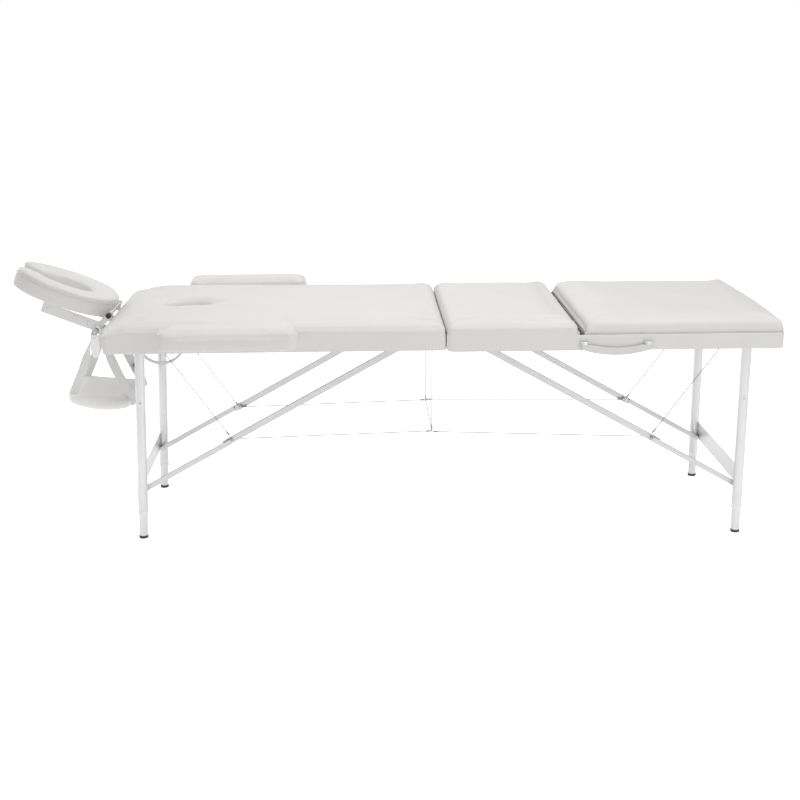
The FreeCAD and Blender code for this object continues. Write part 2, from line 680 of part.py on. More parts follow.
def cam_lever():
    """Cam lever that hangs down from the near end of the cross tube."""
    boss = rod(V(CROSS_TUBE_U - 10, LEVER_Y, POST_Z), V(CROSS_TUBE_U + 10, LEVER_Y, POST_Z), 7)
    grip_u = (CROSS_TUBE_U - 12, CROSS_TUBE_U + 12)
    grip = box(grip_u, (LEVER_Y - 3.5, LEVER_Y + 3.5), (POST_Z - 72, POST_Z - 2))
    grip = round_edges(grip, 8.0, lambda e: e.BoundBox.ZMax < POST_Z - 70 and e.BoundBox.YLength > 5)
    return boss.fuse(grip).removeSplitter()


def is_lift_corner(edge):
    """The two upright edges at the outer end of the lift frame."""
    upright = abs(edge.BoundBox.ZLength - (LIFT_BAND[1] - LIFT_BAND[0])) < 0.1
    return upright and edge.BoundBox.XMin > LIFT_LENGTH - 0.1


def lift_frame():
    """Lower frame of the headrest: two arms, an end plate, and links up to the tilt pivot."""
    arm_span = (LIFT_Y - 2, LIFT_Y + 2)
    arm = box((0, LIFT_LENGTH), arm_span, LIFT_BAND)
    plate = box((LIFT_LENGTH - 4, LIFT_LENGTH), (-LIFT_Y, LIFT_Y), LIFT_BAND)
    frame = arm.fuse([mirrored(arm), plate]).removeSplitter()
    frame = round_edges(frame, 10.0, is_lift_corner)
    frame = tilted(frame, LIFT_TILT, CROSS_TUBE_U, POST_Z)
    u, z = TILT_PIVOT_U, TILT_PIVOT_Z
    extras = []
    for side in (-1, 1):
        span = (side * LIFT_Y - 4, side * LIFT_Y + 4)
        extras.append(across(CROSS_TUBE_U, POST_Z, span, 13.5))
        extras.append(link((CROSS_TUBE_U, POST_Z), (u, z), 14, (side * LIFT_Y - 2, side * LIFT_Y + 2)))
    extras.append(across(u, z, (-112, LIFT_Y + 4), TILT_PIN_RADIUS))
    frame = frame.fuse(extras).removeSplitter()
    return frame.cut(across(CROSS_TUBE_U, POST_Z, (-140, 140), CROSS_TUBE_RADIUS + PIVOT_CLEARANCE))


def tilt_knob():
    """Round grip with finger flutes on the near end of the tilt pin."""
    grip = across(TILT_PIVOT_U, TILT_PIVOT_Z, KNOB_Y, KNOB_RADIUS)
    for i in range(8):
        turn = math.radians(45 * i)
        u = TILT_PIVOT_U + (KNOB_RADIUS + 1.4) * math.cos(turn)
        z = TILT_PIVOT_Z + (KNOB_RADIUS + 1.4) * math.sin(turn)
        grip = grip.cut(across(u, z, (KNOB_Y[0] - 1, KNOB_Y[1] + 1), 2.2))
    socket = (KNOB_Y[0] + 5.5, KNOB_Y[1] + 1)
    return grip.cut(across(TILT_PIVOT_U, TILT_PIVOT_Z, socket, TILT_PIN_RADIUS + PIVOT_CLEARANCE))


def ring_form(length, width, hole_length, hole_width, slot, t_range):
    """An oval ring that is open at its outer end, drawn flat."""
    through = (t_range[0] - 1, t_range[1] + 1)
    ring = oval(CUSHION_CENTRE, length, width, t_range)
    ring = ring.cut(oval(CUSHION_CENTRE, hole_length, hole_width, through))
    return ring.cut(box((CUSHION_CENTRE, CUSHION_CENTRE + length), (-slot / 2, slot / 2), through))


def headrest_board():
    length = CUSHION_LENGTH - 14
    width = CUSHION_WIDTH - 14
    hole = (CUSHION_HOLE_LENGTH + 8, CUSHION_HOLE_WIDTH + 8)
    board = ring_form(length, width, hole[0], hole[1], CUSHION_SLOT + 8, BOARD_LEVEL)
    lugs = []
    for side in (-1, 1):
        span = (side * 66 - 3, side * 66 + 3)
        lugs.append(across(0, 0, span, 7))
        lugs.append(box((-7, 7), span, (BOARD_LEVEL[0], 0)))
        lugs.append(box((0, 46), span, (BOARD_LEVEL[0], BOARD_LEVEL[1] - 1)))
    board = board.fuse(lugs).removeSplitter().cut(across(0, 0, (-90, 90), TILT_PIN_RADIUS + PIVOT_CLEARANCE))
    return tilted(board, BOARD_TILT, TILT_PIVOT_U, TILT_PIVOT_Z)


def headrest_cushion():
    top = BOARD_LEVEL[1] + CUSHION_THICKNESS
    hole = (CUSHION_HOLE_LENGTH, CUSHION_HOLE_WIDTH)
    level = (BOARD_LEVEL[1], top)
    cushion = ring_form(CUSHION_LENGTH, CUSHION_WIDTH, hole[0], hole[1], CUSHION_SLOT, level)
    cushion = round_edges(cushion, CUSHION_EDGE_RADIUS, lambda e: e.BoundBox.ZMin > top - 0.1)
    return tilted(cushion, BOARD_TILT, TILT_PIVOT_U, TILT_PIVOT_Z)


def rod_sockets():
    """Bushes for the headrest posts in the end rail and for the armrest rods in the side rails."""
    bushes = []
    for y in (-POST_Y, POST_Y):
        sleeve = rod(V(END_IN - 3, y, POST_Z), V(END_OUT + 2.5, y, POST_Z), POST_RADIUS + 3)
        flange = rod(V(END_OUT, y, POST_Z), V(END_OUT + 2.5, y, POST_Z), POST_RADIUS + 6)
        bore = rod(V(END_IN - 9, y, POST_Z), V(END_OUT + 9, y, POST_Z), POST_RADIUS + PIVOT_CLEARANCE)
        bushes.append(sleeve.fuse(flange).cut(bore))
    for u in ARMREST_ROD_U:
        sleeve = across(u, ARMREST_ROD_Z, (RAIL_IN - 3, RAIL_OUT + 2.5), ARMREST_ROD_RADIUS + 2)
        flange = across(u, ARMREST_ROD_Z, (RAIL_OUT, RAIL_OUT + 2.5), ARMREST_ROD_RADIUS + 4)
        bore = across(u, ARMREST_ROD_Z, (RAIL_IN - 9, RAIL_OUT + 9), ARMREST_ROD_RADIUS + PIVOT_CLEARANCE)
        bushes += pair(sleeve.fuse(flange).cut(bore))
    return bushes


# Arm sling


def sling_shelf():
    u_range = (CROSS_TUBE_U - SLING_HALF_LENGTH, CROSS_TUBE_U + SLING_HALF_LENGTH)
    shelf = box(u_range, (-SLING_HALF_DEPTH, SLING_HALF_DEPTH), (SLING_TOP - SLING_THICKNESS, SLING_TOP))
    return round_edges(shelf, 14.0, lambda e: e.BoundBox.ZLength < 1)


def sling_straps():
    """Two webbing loops over the cross tube, sewn to the ends of the shelf."""
    shelf_end = (CROSS_TUBE_U + SLING_HALF_LENGTH + 1.2, SLING_TOP + 3)
    hang = CROSS_TUBE_RADIUS + 0.4
    span = (STRAP_Y - STRAP_WIDTH / 2, STRAP_Y + STRAP_WIDTH / 2)
    ring = across(CROSS_TUBE_U, POST_Z, span, hang + STRAP).cut(across(CROSS_TUBE_U, POST_Z, span, hang))
    ring = ring.cut(box((CROSS_TUBE_U - 20, CROSS_TUBE_U + 20), span, (POST_Z - 30, POST_Z)))
    leg = link((CROSS_TUBE_U + hang + STRAP / 2, POST_Z), shelf_end, STRAP, span)
    sewn = link(shelf_end, (shelf_end[0], SLING_TOP - 30), STRAP, span)
    room = across(CROSS_TUBE_U, POST_Z, span, hang)
    half_loop = leg.fuse(sewn).cut(room)
    other = half_loop.mirror(V(CROSS_TUBE_U, 0, 0), V(1, 0, 0))
    loop = ring.fuse([half_loop, other]).removeSplitter()
    return pair(loop)


# Armrests, handle and strap


def armrest_pad():
    pad = box(ARMREST_U, ARMREST_Y, ARMREST_Z)
    return round_edges(pad, ARMREST_EDGE_RADIUS, lambda e: e.BoundBox.ZMax > ARMREST_Z[0] + 1)


def armrest_frame():
    """Two rods that slide in the side rail, with a plate that carries the pad."""
    plate_u = (ARMREST_U[0] + 15, ARMREST_U[1] - 15)
    plate_y = (ARMREST_Y[0] + 12, ARMREST_Y[1] - 12)
    plate = box(plate_u, plate_y, (ARMREST_Z[0] - ARMREST_PLATE, ARMREST_Z[0]))
    shapes = []
    for u in ARMREST_ROD_U:
        shapes.append(across(u, ARMREST_ROD_Z, (ARMREST_ROD_END, ARMREST_Y[1] - 40), ARMREST_ROD_RADIUS))
        saddle_y = (ARMREST_Y[0] + 20, ARMREST_Y[1] - 44)
        shapes.append(box((u - 5, u + 5), saddle_y, (ARMREST_ROD_Z, ARMREST_Z[0] - 3)))
    return plate.fuse(shapes).removeSplitter()


def arc_band(u_range, z, drop, band, y_range, ceiling):
    """A strap that droops in an arc between two points, cut off level with the ceiling."""
    half_span = (u_range[1] - u_range[0]) / 2
    centre_u = (u_range[0] + u_range[1]) / 2
    radius = (half_span**2 + drop**2) / (2 * drop)
    centre_z = z - drop + radius
    ring = across(centre_u, centre_z, y_range, radius + band / 2)
    ring = ring.cut(across(centre_u, centre_z, y_range, radius - band / 2))
    keep = box((u_range[0] - 8, u_range[1] + 8), y_range, (z - drop - band, ceiling))
    return ring.common(keep)


def carry_handle():
    """Moulded strap handle with an eye at each end."""
    y_range = (HANDLE_AXIS_Y - HANDLE_THICKNESS / 2, HANDLE_AXIS_Y + HANDLE_THICKNESS / 2)
    shapes = []
    for u in HANDLE_U:
        shapes.append(box((u - 8, u + 8), y_range, (HANDLE_Z - 6, HANDLE_AXIS_Z)))
        start = V(u - 8, HANDLE_AXIS_Y, HANDLE_AXIS_Z)
        shapes.append(rod(start, start + V(16, 0, 0), 3.5))
    ceiling = HANDLE_AXIS_Z - 4.5
    handle = arc_band(HANDLE_U, HANDLE_Z, HANDLE_DROP, HANDLE_BAND, y_range, ceiling)
    handle = handle.fuse(shapes).removeSplitter()
    start = V(HANDLE_U[0] - 20, HANDLE_AXIS_Y, HANDLE_AXIS_Z)
    end = V(HANDLE_U[1] + 20, HANDLE_AXIS_Y, HANDLE_AXIS_Z)
    return handle.cut(rod(start, end, HANDLE_PIN + PIVOT_CLEARANCE))


def handle_rivets():
    """Two rivets for each end of the handle, through the cover and into the rail."""
    rivets = []
    for u in HANDLE_U:
        for z in (HANDLE_AXIS_Z - 9, HANDLE_AXIS_Z + 5):
            rivets.append(across(u, z, (-HALF_WIDTH - HANDLE_PLATE / 2, -RAIL_OUT), RIVET_RADIUS))
    return rivets


def handle_mounts():
    """A riveted plate at each end of the handle, with two ears and the pin that the handle swings on."""
    outer = -HALF_WIDTH - HANDLE_PLATE
    mounts = []
    for u in HANDLE_U:
        shape = box((u - 13, u + 13), (outer, -HALF_WIDTH), (HANDLE_AXIS_Z - 12, HANDLE_AXIS_Z + 8))
        for side in (-1, 1):
            near = u + side * 8.5
            far = u + side * 11
            span = (min(near, far), max(near, far))
            ear = box(span, (HANDLE_AXIS_Y, outer), (HANDLE_AXIS_Z - 3.5, HANDLE_AXIS_Z + 3.5))
            start = V(span[0], HANDLE_AXIS_Y, HANDLE_AXIS_Z)
            tip = rod(start, start + V(span[1] - span[0], 0, 0), 3.5)
            shape = shape.fuse([ear, tip])
        start = V(u - 11, HANDLE_AXIS_Y, HANDLE_AXIS_Z)
        end = V(u + 11, HANDLE_AXIS_Y, HANDLE_AXIS_Z)
        pin = rod(start, end, HANDLE_PIN)
        rivets = [r for r in handle_rivets() if r.BoundBox.XMin > u - 5 and r.BoundBox.XMax < u + 5]
        mounts.append(shape.fuse([pin] + rivets).removeSplitter())
    return mounts


def storage_pins():
    """Pins along X that hang from small plates under the head deck."""
    y = -STORAGE_STRAP_Y
    pins = []
    for u in STORAGE_STRAP_U:
        pin = rod(V(u - 9, y, ANCHOR_Z), V(u + 9, y, ANCHOR_Z), STORAGE_PIN_RADIUS)
        plates = [box((u - 9, u - 6.5), (y - 4, y + 4), (ANCHOR_Z - 4, RAIL_TOP))]
        plates.append(box((u + 6.5, u + 9), (y - 4, y + 4), (ANCHOR_Z - 4, RAIL_TOP)))
        pins.append(pin.fuse(plates).removeSplitter())
    return pins


def storage_strap():
    """Moulded strap loop that hangs under the head deck, with an eye at each end."""
    y = -STORAGE_STRAP_Y
    band = arc_band(STORAGE_STRAP_U, ANCHOR_Z - 6, STORAGE_STRAP_DROP, 8.0, (y - 3, y + 3), ANCHOR_Z - 6)
    for u in STORAGE_STRAP_U:
        eye = rod(V(u - 6, y, ANCHOR_Z), V(u + 6, y, ANCHOR_Z), 4.5)
        band = band.fuse([eye, box((u - 6, u + 6), (y - 3, y + 3), (ANCHOR_Z - 10, ANCHOR_Z))])
    start = V(STORAGE_STRAP_U[0] - 20, y, ANCHOR_Z)
    end = V(STORAGE_STRAP_U[1] + 20, y, ANCHOR_Z)
    return band.removeSplitter().cut(rod(start, end, STORAGE_PIN_RADIUS + PIVOT_CLEARANCE))


def export_frame(half):
    save_half(half, half + "_rails", rails(half))
    save_half(half, half + "_pivot_brackets", pivot_brackets(half))
    save_half(half, half + "_leg_tubes", pair(leg_tube(half)))
    save_half(half, half + "_cross_bar", cross_bar(half))
    save_half(half, half + "_leg_bolts", leg_bolts(half))
    save_half(half, half + "_lower_struts", pair(lower_strut(half)))
    save_half(half, half + "_upper_struts", pair(upper_strut(half)))
    save_half(half, half + "_strut_bolts", strut_bolts(half))
    save_half(half, half + "_diagonal_cables", pair(diagonal_cable(half)))
    save_half(half, half + "_run_cables", pair(run_cable(half)))
    for side, place in (("far", lambda s: s), ("near", mirrored)):
        save_half(half, half + "_" + side + "_extension", place(extension_tube(half)))
        save_half(half, half + "_" + side + "_foot", place(foot_tip(half)))
        save_half(half, half + "_" + side + "_button", place(height_button(half)))


def export_table():
    """Moves every node so that the origin is under the middle of the overall length, and writes it."""
    head_end = table["headrest_cushion"].optimalBoundingBox(False).XMin
    middle = (head_end + HALF_LENGTH) / 2
    os.makedirs("parts", exist_ok=True)
    for name, shape in table.items():
        shape.translate(V(-middle, 0, 0))
        shape.exportStep(os.path.join("parts", name + ".step"))


def main():
    for half in HALVES:
        export_frame(half)
    save_half("head", "head_hinge_leaves", table_hinges("head"))
    save("foot_hinge_leaves", table_hinges("foot") + backrest_leaves(False))
    save_half("head", "head_deck", deck((CENTRE_GAP, END_OUT), hole=True))
    save_half("head", "head_pad", head_pad())
    save_half("head", "centre_cable", centre_cable())
    save("seat_deck", deck((CENTRE_GAP, BACKREST_AXIS_U - BACKREST_DECK_GAP)))
    save("seat_pad", seat_pad())
    save("backrest_deck", deck((BACKREST_AXIS_U + BACKREST_DECK_GAP, END_OUT)))
    save("backrest_pad", backrest_pad())
    save("backrest_fittings", backrest_leaves(True) + prop_brackets())
    save("backrest_prop", backrest_prop())
    save("backrest_racks", backrest_racks())
    save("carry_handle", carry_handle())
    save("handle_mounts", handle_mounts())
    save_half("head", "storage_strap", storage_strap())
    save_half("head", "rod_sockets", rod_sockets())
    save_half("head", "headrest_posts", headrest_posts())
    save_half("head", "cam_lever", cam_lever())
    save_half("head", "lift_frame", lift_frame())
    save_half("head", "tilt_knob", tilt_knob())
    save_half("head", "headrest_board", headrest_board())
    save_half("head", "headrest_cushion", headrest_cushion())
    save_half("head", "sling_shelf", sling_shelf())
    save_half("head", "sling_straps", sling_straps())
    for side, place in (("far", lambda s: s), ("near", mirrored)):
        save_half("head", side + "_armrest_pad", place(armrest_pad()))
        save_half("head", side + "_armrest_frame", place(armrest_frame()))
    export_table()


table = {}
main()
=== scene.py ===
import json
import math

import bmesh
import bpy
from mathutils import Matrix, Vector, noise


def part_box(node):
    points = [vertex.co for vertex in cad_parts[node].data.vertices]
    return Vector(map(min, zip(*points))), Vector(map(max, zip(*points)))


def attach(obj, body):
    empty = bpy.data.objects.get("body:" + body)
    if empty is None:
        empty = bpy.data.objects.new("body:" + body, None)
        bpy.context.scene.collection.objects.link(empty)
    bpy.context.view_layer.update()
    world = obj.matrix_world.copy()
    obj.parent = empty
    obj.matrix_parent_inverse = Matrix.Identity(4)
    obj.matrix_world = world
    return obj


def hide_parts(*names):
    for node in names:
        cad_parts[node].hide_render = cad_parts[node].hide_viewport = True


# Looks of the portable massage table. Metres, in the CAD frame: the head end is at -X,
# the foot end at +X, the near side at -Y and the floor at z = 0.

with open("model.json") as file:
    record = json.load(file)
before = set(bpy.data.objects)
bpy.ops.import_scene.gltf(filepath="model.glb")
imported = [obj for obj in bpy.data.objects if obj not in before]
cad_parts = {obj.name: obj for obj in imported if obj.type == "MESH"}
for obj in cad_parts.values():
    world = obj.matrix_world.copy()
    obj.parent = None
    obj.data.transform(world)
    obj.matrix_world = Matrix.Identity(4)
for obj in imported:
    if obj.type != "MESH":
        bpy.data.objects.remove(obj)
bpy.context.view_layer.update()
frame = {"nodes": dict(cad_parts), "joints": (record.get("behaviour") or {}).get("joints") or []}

HEAD_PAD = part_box("head_pad")
SEAT_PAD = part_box("seat_pad")
BACKREST_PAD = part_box("backrest_pad")
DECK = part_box("head_deck")
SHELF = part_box("sling_shelf")
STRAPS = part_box("sling_straps")
SEAT_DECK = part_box("seat_deck")
BACKREST_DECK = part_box("backrest_deck")

HALF_WIDTH = HEAD_PAD[1].y
PAD_TOP = HEAD_PAD[1].z
HEM = HEAD_PAD[0].z
DECK_TOP = DECK[1].z
RAIL_TOP = DECK[0].z
FOOT_HEM = HEM - 0.0045
VOXEL = 0.006
CROWN_ROOM = 0.002
COVER_EDGE = DECK_TOP - 0.004
COVER_HELD = (DECK_TOP + 0.004, DECK_TOP + 0.020)
SEAM_WIDTH = 0.0022
STRAP_INSET = 0.0125

# ---------------------------------------------------------------- materials


class Nodes:
    """A small helper that adds and links shader nodes of one material."""

    def __init__(self, name):
        self.material = bpy.data.materials.new(name)
        self.material.use_nodes = True
        self.tree = self.material.node_tree
        self.surface = self.tree.nodes["Principled BSDF"]

    def add(self, kind, inputs=None, **settings):
        node = self.tree.nodes.new("ShaderNode" + kind)
        for key, value in settings.items():
            setattr(node, key, value)
        for key, value in (inputs or {}).items():
            self.feed(node.inputs[key], value)
        return node

    def feed(self, socket, value):
        if isinstance(value, bpy.types.NodeSocket):
            self.tree.links.new(value, socket)
        else:
            socket.default_value = value

    def set(self, **inputs):
        for key, value in inputs.items():
            self.feed(self.surface.inputs[key.replace("_", " ")], value)

    def place(self, scale=(1, 1, 1)):
        """Object coordinates, scaled per axis."""
        source = self.add("TexCoord").outputs["Object"]
        return self.add("Mapping", {"Vector": source, "Scale": scale}).outputs["Vector"]

    def noise(self, vector, scale, detail=4.0, roughness=0.5):
        values = {"Vector": vector, "Scale": scale, "Detail": detail, "Roughness": roughness}
        return self.add("TexNoise", values).outputs["Fac"]

    def spread(self, factor, low, high):
        """Maps a 0..1 pattern to the range low..high."""
        node = self.add("MapRange", {"Value": factor, "From Min": 0.25, "From Max": 0.75})
        self.feed(node.inputs["To Min"], low)
        self.feed(node.inputs["To Max"], high)
        return node.outputs["Result"]

    def blend(self, factor, first, second):
        node = self.add("Mix", data_type="RGBA")
        self.feed(node.inputs["Factor"], factor)
        self.feed(node.inputs["A"], (*first, 1.0))
        self.feed(node.inputs["B"], (*second, 1.0))
        return node.outputs["Result"]

    def add_heights(self, *heights):
        total = heights[0]
        for height in heights[1:]:
            total = self.add("Math", {0: total, 1: height}, operation="ADD").outputs[0]
        return total

    def scaled(self, value, factor):
        return self.add("Math", {0: value, 1: factor}, operation="MULTIPLY").outputs[0]

    def bump(self, height, distance, strength=1.0):
        values = {"Height": height, "Distance": distance, "Strength": strength}
        return self.add("Bump", values).outputs["Normal"]


def vinyl(name, light, dark, grain=1.0):
    """Upholstery vinyl: fine pebbled grain, faint mottling and a soft sheen."""
    n = Nodes(name)
    place = n.place()
    mottle = n.noise(place, 9.0, 3.0)
    pebbles = n.add("TexVoronoi", {"Vector": place, "Scale": 720.0}, feature="SMOOTH_F1")
    creases = n.noise(place, 1500.0, 2.0)
    undulation = n.noise(place, 26.0, 2.0)
    height = n.add_heights(n.scaled(pebbles.outputs["Distance"], 0.9), n.scaled(creases, 0.5))
    fine = n.bump(height, 0.00016, 0.55 * grain)
    swell = {"Height": undulation, "Distance": 0.0012, "Strength": 0.35, "Normal": fine}
    broad = n.add("Bump", swell)
    n.set(Base_Color=n.blend(mottle, dark, light), Roughness=n.spread(mottle, 0.50, 0.40))
    n.set(Coat_Weight=0.12, Coat_Roughness=0.35, Normal=broad.outputs["Normal"])
    return n.material


def drawn_metal(name, color, streak_axis, metallic=0.9, roughness=0.3):
    """Drawn or extruded metal: fine die lines along one axis and faint cloudy variation."""
    n = Nodes(name)
    stretch = [700.0, 700.0, 700.0]
    stretch["XYZ".index(streak_axis)] = 6.0
    lines = n.noise(n.place(tuple(stretch)), 1.0, 3.0)
    cloud = n.noise(n.place(), 22.0, 3.0)
    darker = tuple(c * 0.93 for c in color)
    n.set(Base_Color=n.blend(cloud, darker, color), Metallic=metallic)
    n.set(Roughness=n.spread(lines, roughness - 0.07, roughness + 0.1))
    n.set(Normal=n.bump(lines, 0.00006, 0.35))
    return n.material


def painted(name, color, roughness=0.4):
    """Powder coat: a slight orange-peel surface, with thin rubbed spots."""
    n = Nodes(name)
    place = n.place()
    peel = n.noise(place, 420.0, 2.0)
    rub = n.noise(place, 60.0, 5.0)
    worn = tuple(c * 0.9 for c in color)
    n.set(Base_Color=n.blend(rub, worn, color))
    n.set(Roughness=n.spread(rub, roughness - 0.06, roughness + 0.08))
    n.set(Coat_Weight=0.25, Coat_Roughness=0.2, Normal=n.bump(peel, 0.0001, 0.4))
    return n.material


def moulded(name, color, roughness=0.42):
    """Injection-moulded plastic with a fine spark-eroded texture."""
    n = Nodes(name)
    place = n.place()
    spark = n.noise(place, 1900.0, 2.0)
    cloud = n.noise(place, 35.0, 2.0)
    lighter = tuple(min(1.0, c * 1.15 + 0.004) for c in color)
    n.set(Base_Color=n.blend(cloud, color, lighter))
    n.set(Roughness=n.spread(cloud, roughness - 0.04, roughness + 0.06))
    n.set(Normal=n.bump(spark, 0.00008, 0.45))
    return n.material


def rubber(name, color):
    n = Nodes(name)
    place = n.place()
    speckle = n.noise(place, 900.0, 3.0)
    dust = n.noise(place, 50.0, 4.0)
    dusty = tuple(c + 0.05 for c in color)
    n.set(Base_Color=n.blend(dust, color, dusty), Roughness=n.spread(dust, 0.7, 0.86))
    n.set(Normal=n.bump(speckle, 0.0002, 0.5))
    return n.material


def webbing(name, light, dark, rib=1100.0):
    """Woven strap: crossed ribs, and a colour change between threads. rib: radians per metre."""
    n = Nodes(name)
    place = n.place()
    full_turn = 6.28
    wave = {"Vector": place, "Scale": rib / full_turn, "Distortion": 0.4}
    warp = n.add("TexWave", wave, bands_direction="DIAGONAL")
    weft = n.add("TexWave", wave, bands_direction="Y")
    threads = n.noise(place, 500.0, 3.0)
    height = n.add_heights(warp.outputs["Fac"], weft.outputs["Fac"], threads)
    n.set(Base_Color=n.blend(threads, dark, light), Roughness=0.8, Sheen_Weight=0.25)
    n.set(Normal=n.bump(height, 0.0003, 0.5))
    return n.material


def wire_rope(name):
    """Plastic-coated steel wire: strands show as a fine slanted rib."""
    n = Nodes(name)
    wave = {"Vector": n.place(), "Scale": 190.0, "Distortion": 0.2}
    strands = n.add("TexWave", wave, bands_direction="DIAGONAL")
    grime = n.noise(n.place(), 80.0, 2.0)
    n.set(Base_Color=n.blend(grime, (0.36, 0.36, 0.35), (0.46, 0.46, 0.45)), Metallic=0.3)
    n.set(Roughness=n.spread(grime, 0.3, 0.45), Normal=n.bump(strands.outputs["Fac"], 0.0004, 0.5))
    return n.material


VINYL = vinyl("vinyl", (0.745, 0.735, 0.715), (0.715, 0.705, 0.685))
VINYL_PIPING = vinyl("vinyl_piping", (0.73, 0.72, 0.70), (0.69, 0.68, 0.66), 1.4)
# painted light: the shelf gets a lighter copy of the vinyl, so its top reads as if more light fell
# on it than the lamps give
VINYL_SHELF_PAINTED_LIGHT = vinyl("shelf_vinyl_painted_light", (0.90, 0.89, 0.87), (0.87, 0.86, 0.84))
VINYL_UNDERSIDE = vinyl("vinyl_underside", (0.62, 0.61, 0.60), (0.58, 0.57, 0.56))
UPRIGHT_TUBE = drawn_metal("upright_tube", (0.82, 0.82, 0.83), "Z", 0.75, 0.3)
INNER_TUBE = drawn_metal("inner_tube", (0.80, 0.80, 0.81), "Z", 0.95, 0.24)
LONG_TUBE = drawn_metal("long_tube", (0.72, 0.72, 0.73), "X", 0.85, 0.32)
CROSS_TUBE = drawn_metal("cross_tube", (0.84, 0.84, 0.85), "Y", 0.8, 0.32)
STEEL = drawn_metal("zinc_steel", (0.70, 0.70, 0.71), "Y", 1.0, 0.3)
CHROME = drawn_metal("bright_steel", (0.80, 0.80, 0.81), "Y", 1.0, 0.16)
PAINT = painted("white_powder_coat", (0.84, 0.84, 0.84))
WHITE_PLASTIC = moulded("white_plastic", (0.85, 0.85, 0.85), 0.36)
GREY_PLASTIC = moulded("pale_grey_plastic", (0.64, 0.64, 0.63), 0.4)
BLACK_PLASTIC = moulded("black_plastic", (0.018, 0.018, 0.019))
RUBBER = rubber("foot_rubber", (0.055, 0.055, 0.058))
WEBBING = webbing("webbing", (0.84, 0.84, 0.83), (0.76, 0.76, 0.75))
# painted shade: a near-black sheet for the shadow at the bottom of the gap between seat and
# backrest
GAP_SHADE_SHEET = webbing("painted_shade_gap_sheet", (0.050, 0.050, 0.052), (0.030, 0.030, 0.032), 1600.0)
WIRE = wire_rope("coated_wire")

NODE_MATERIALS = {
    UPRIGHT_TUBE: ("head_leg_tubes", "foot_leg_tubes"),
    INNER_TUBE: (
        "head_near_extension",
        "head_far_extension",
        "foot_near_extension",
        "foot_far_extension",
    ),
    LONG_TUBE: (
        "head_rails",
        "foot_rails",
        "head_upper_struts",
        "foot_upper_struts",
        "head_lower_struts",
        "foot_lower_struts",
        "headrest_posts",
        "backrest_prop",
    ),
    CROSS_TUBE: ("head_cross_bar", "foot_cross_bar", "near_armrest_frame", "far_armrest_frame"),
    STEEL: (
        "head_leg_bolts",
        "foot_leg_bolts",
        "head_strut_bolts",
        "foot_strut_bolts",
        "head_hinge_leaves",
        "foot_hinge_leaves",
        "backrest_fittings",
        "handle_mounts",
    ),
    CHROME: ("head_near_button", "head_far_button", "foot_near_button", "foot_far_button"),
    PAINT: (
        "head_pivot_brackets",
        "foot_pivot_brackets",
        "backrest_racks",
        "lift_frame",
        "headrest_board",
    ),
    WHITE_PLASTIC: ("rod_sockets", "cam_lever"),
    GREY_PLASTIC: ("carry_handle",),
    BLACK_PLASTIC: ("tilt_knob",),
    RUBBER: ("head_near_foot", "head_far_foot", "foot_near_foot", "foot_far_foot"),
    VINYL_UNDERSIDE: ("head_deck", "seat_deck", "backrest_deck"),
    WEBBING: ("storage_strap",),
    WIRE: (
        "head_diagonal_cables",
        "foot_diagonal_cables",
        "head_run_cables",
        "foot_run_cables",
        "centre_cable",
    ),
}


def finish_cad_nodes():
    for material, names in NODE_MATERIALS.items():
        for name in names:
            obj = frame["nodes"][name]
            obj.data.materials.clear()
            obj.data.materials.append(material)


# ---------------------------------------------------------------- mesh tools


def add_object(name, mesh, material):
    obj = bpy.data.objects.new(name, mesh)
    bpy.context.scene.collection.objects.link(obj)
    mesh.materials.clear()
    mesh.materials.append(material)
    return obj


def from_bmesh(name, bm, material):
    bm.normal_update()
    mesh = bpy.data.meshes.new(name)
    bm.to_mesh(mesh)
    bm.free()
    mesh.shade_smooth()
    return add_object(name, mesh, material)


def bake(obj):
    """Applies every modifier of obj."""
    bpy.context.view_layer.update()
    graph = bpy.context.evaluated_depsgraph_get()
    mesh = bpy.data.meshes.new_from_object(obj.evaluated_get(graph))
    old = obj.data
    obj.modifiers.clear()
    obj.data = mesh
    bpy.data.meshes.remove(old)
    mesh.shade_smooth()
    return obj


def rounded_hexahedron(outline, half_width, top_radius, corner_radius, bottom_radius=0.0):
    """A block over an (x, z) outline of four points, bottom two first, with rounded edges.

    The result is a bmesh. corner_radius rounds the upright edges, top_radius the top rim.
    """
    bm = bmesh.new()
    rings = []
    for y in (-half_width, half_width):
        rings.append([bm.verts.new((x, y, z)) for x, z in outline])
    near, far = rings
    bm.faces.new(near)
    bm.faces.new(list(reversed(far)))
    for i in range(4):
        j = (i + 1) % 4
        bm.faces.new((near[j], near[i], far[i], far[j]))
    bmesh.ops.recalc_face_normals(bm, faces=bm.faces)
    bottom = min(z for x, z in outline)
    top = max(z for x, z in outline)
    middle = (bottom + top) / 2
    upright = [e for e in bm.edges if (e.verts[0].co.z - middle) * (e.verts[1].co.z - middle) < 0]
    bevel(bm, upright, corner_radius)
    bevel(bm, [e for e in bm.edges if min(v.co.z for v in e.verts) > top - 1e-5], top_radius)
    if bottom_radius:
        lower = [e for e in bm.edges if max(v.co.z for v in e.verts) < bottom + 1e-5]
        bevel(bm, lower, bottom_radius)
    return bm


def bevel(bm, edges, radius, segments=6):
    if radius and edges:
        shape = {"offset": radius, "segments": segments, "profile": 0.5, "affect": "EDGES"}
        bmesh.ops.bevel(bm, geom=edges, **shape)


def skin_rings(bm, rings):
    """Joins closed rings of equal vertex count into a tube, and caps both ends."""
    count = len(rings[0])
    for first, second in zip(rings, rings[1:]):
        for k in range(count):
            following = (k + 1) % count
            bm.faces.new((first[k], first[following], second[following], second[k]))
    bm.faces.new(list(reversed(rings[0])))
    bm.faces.new(rings[-1])
    bmesh.ops.recalc_face_normals(bm, faces=bm.faces)


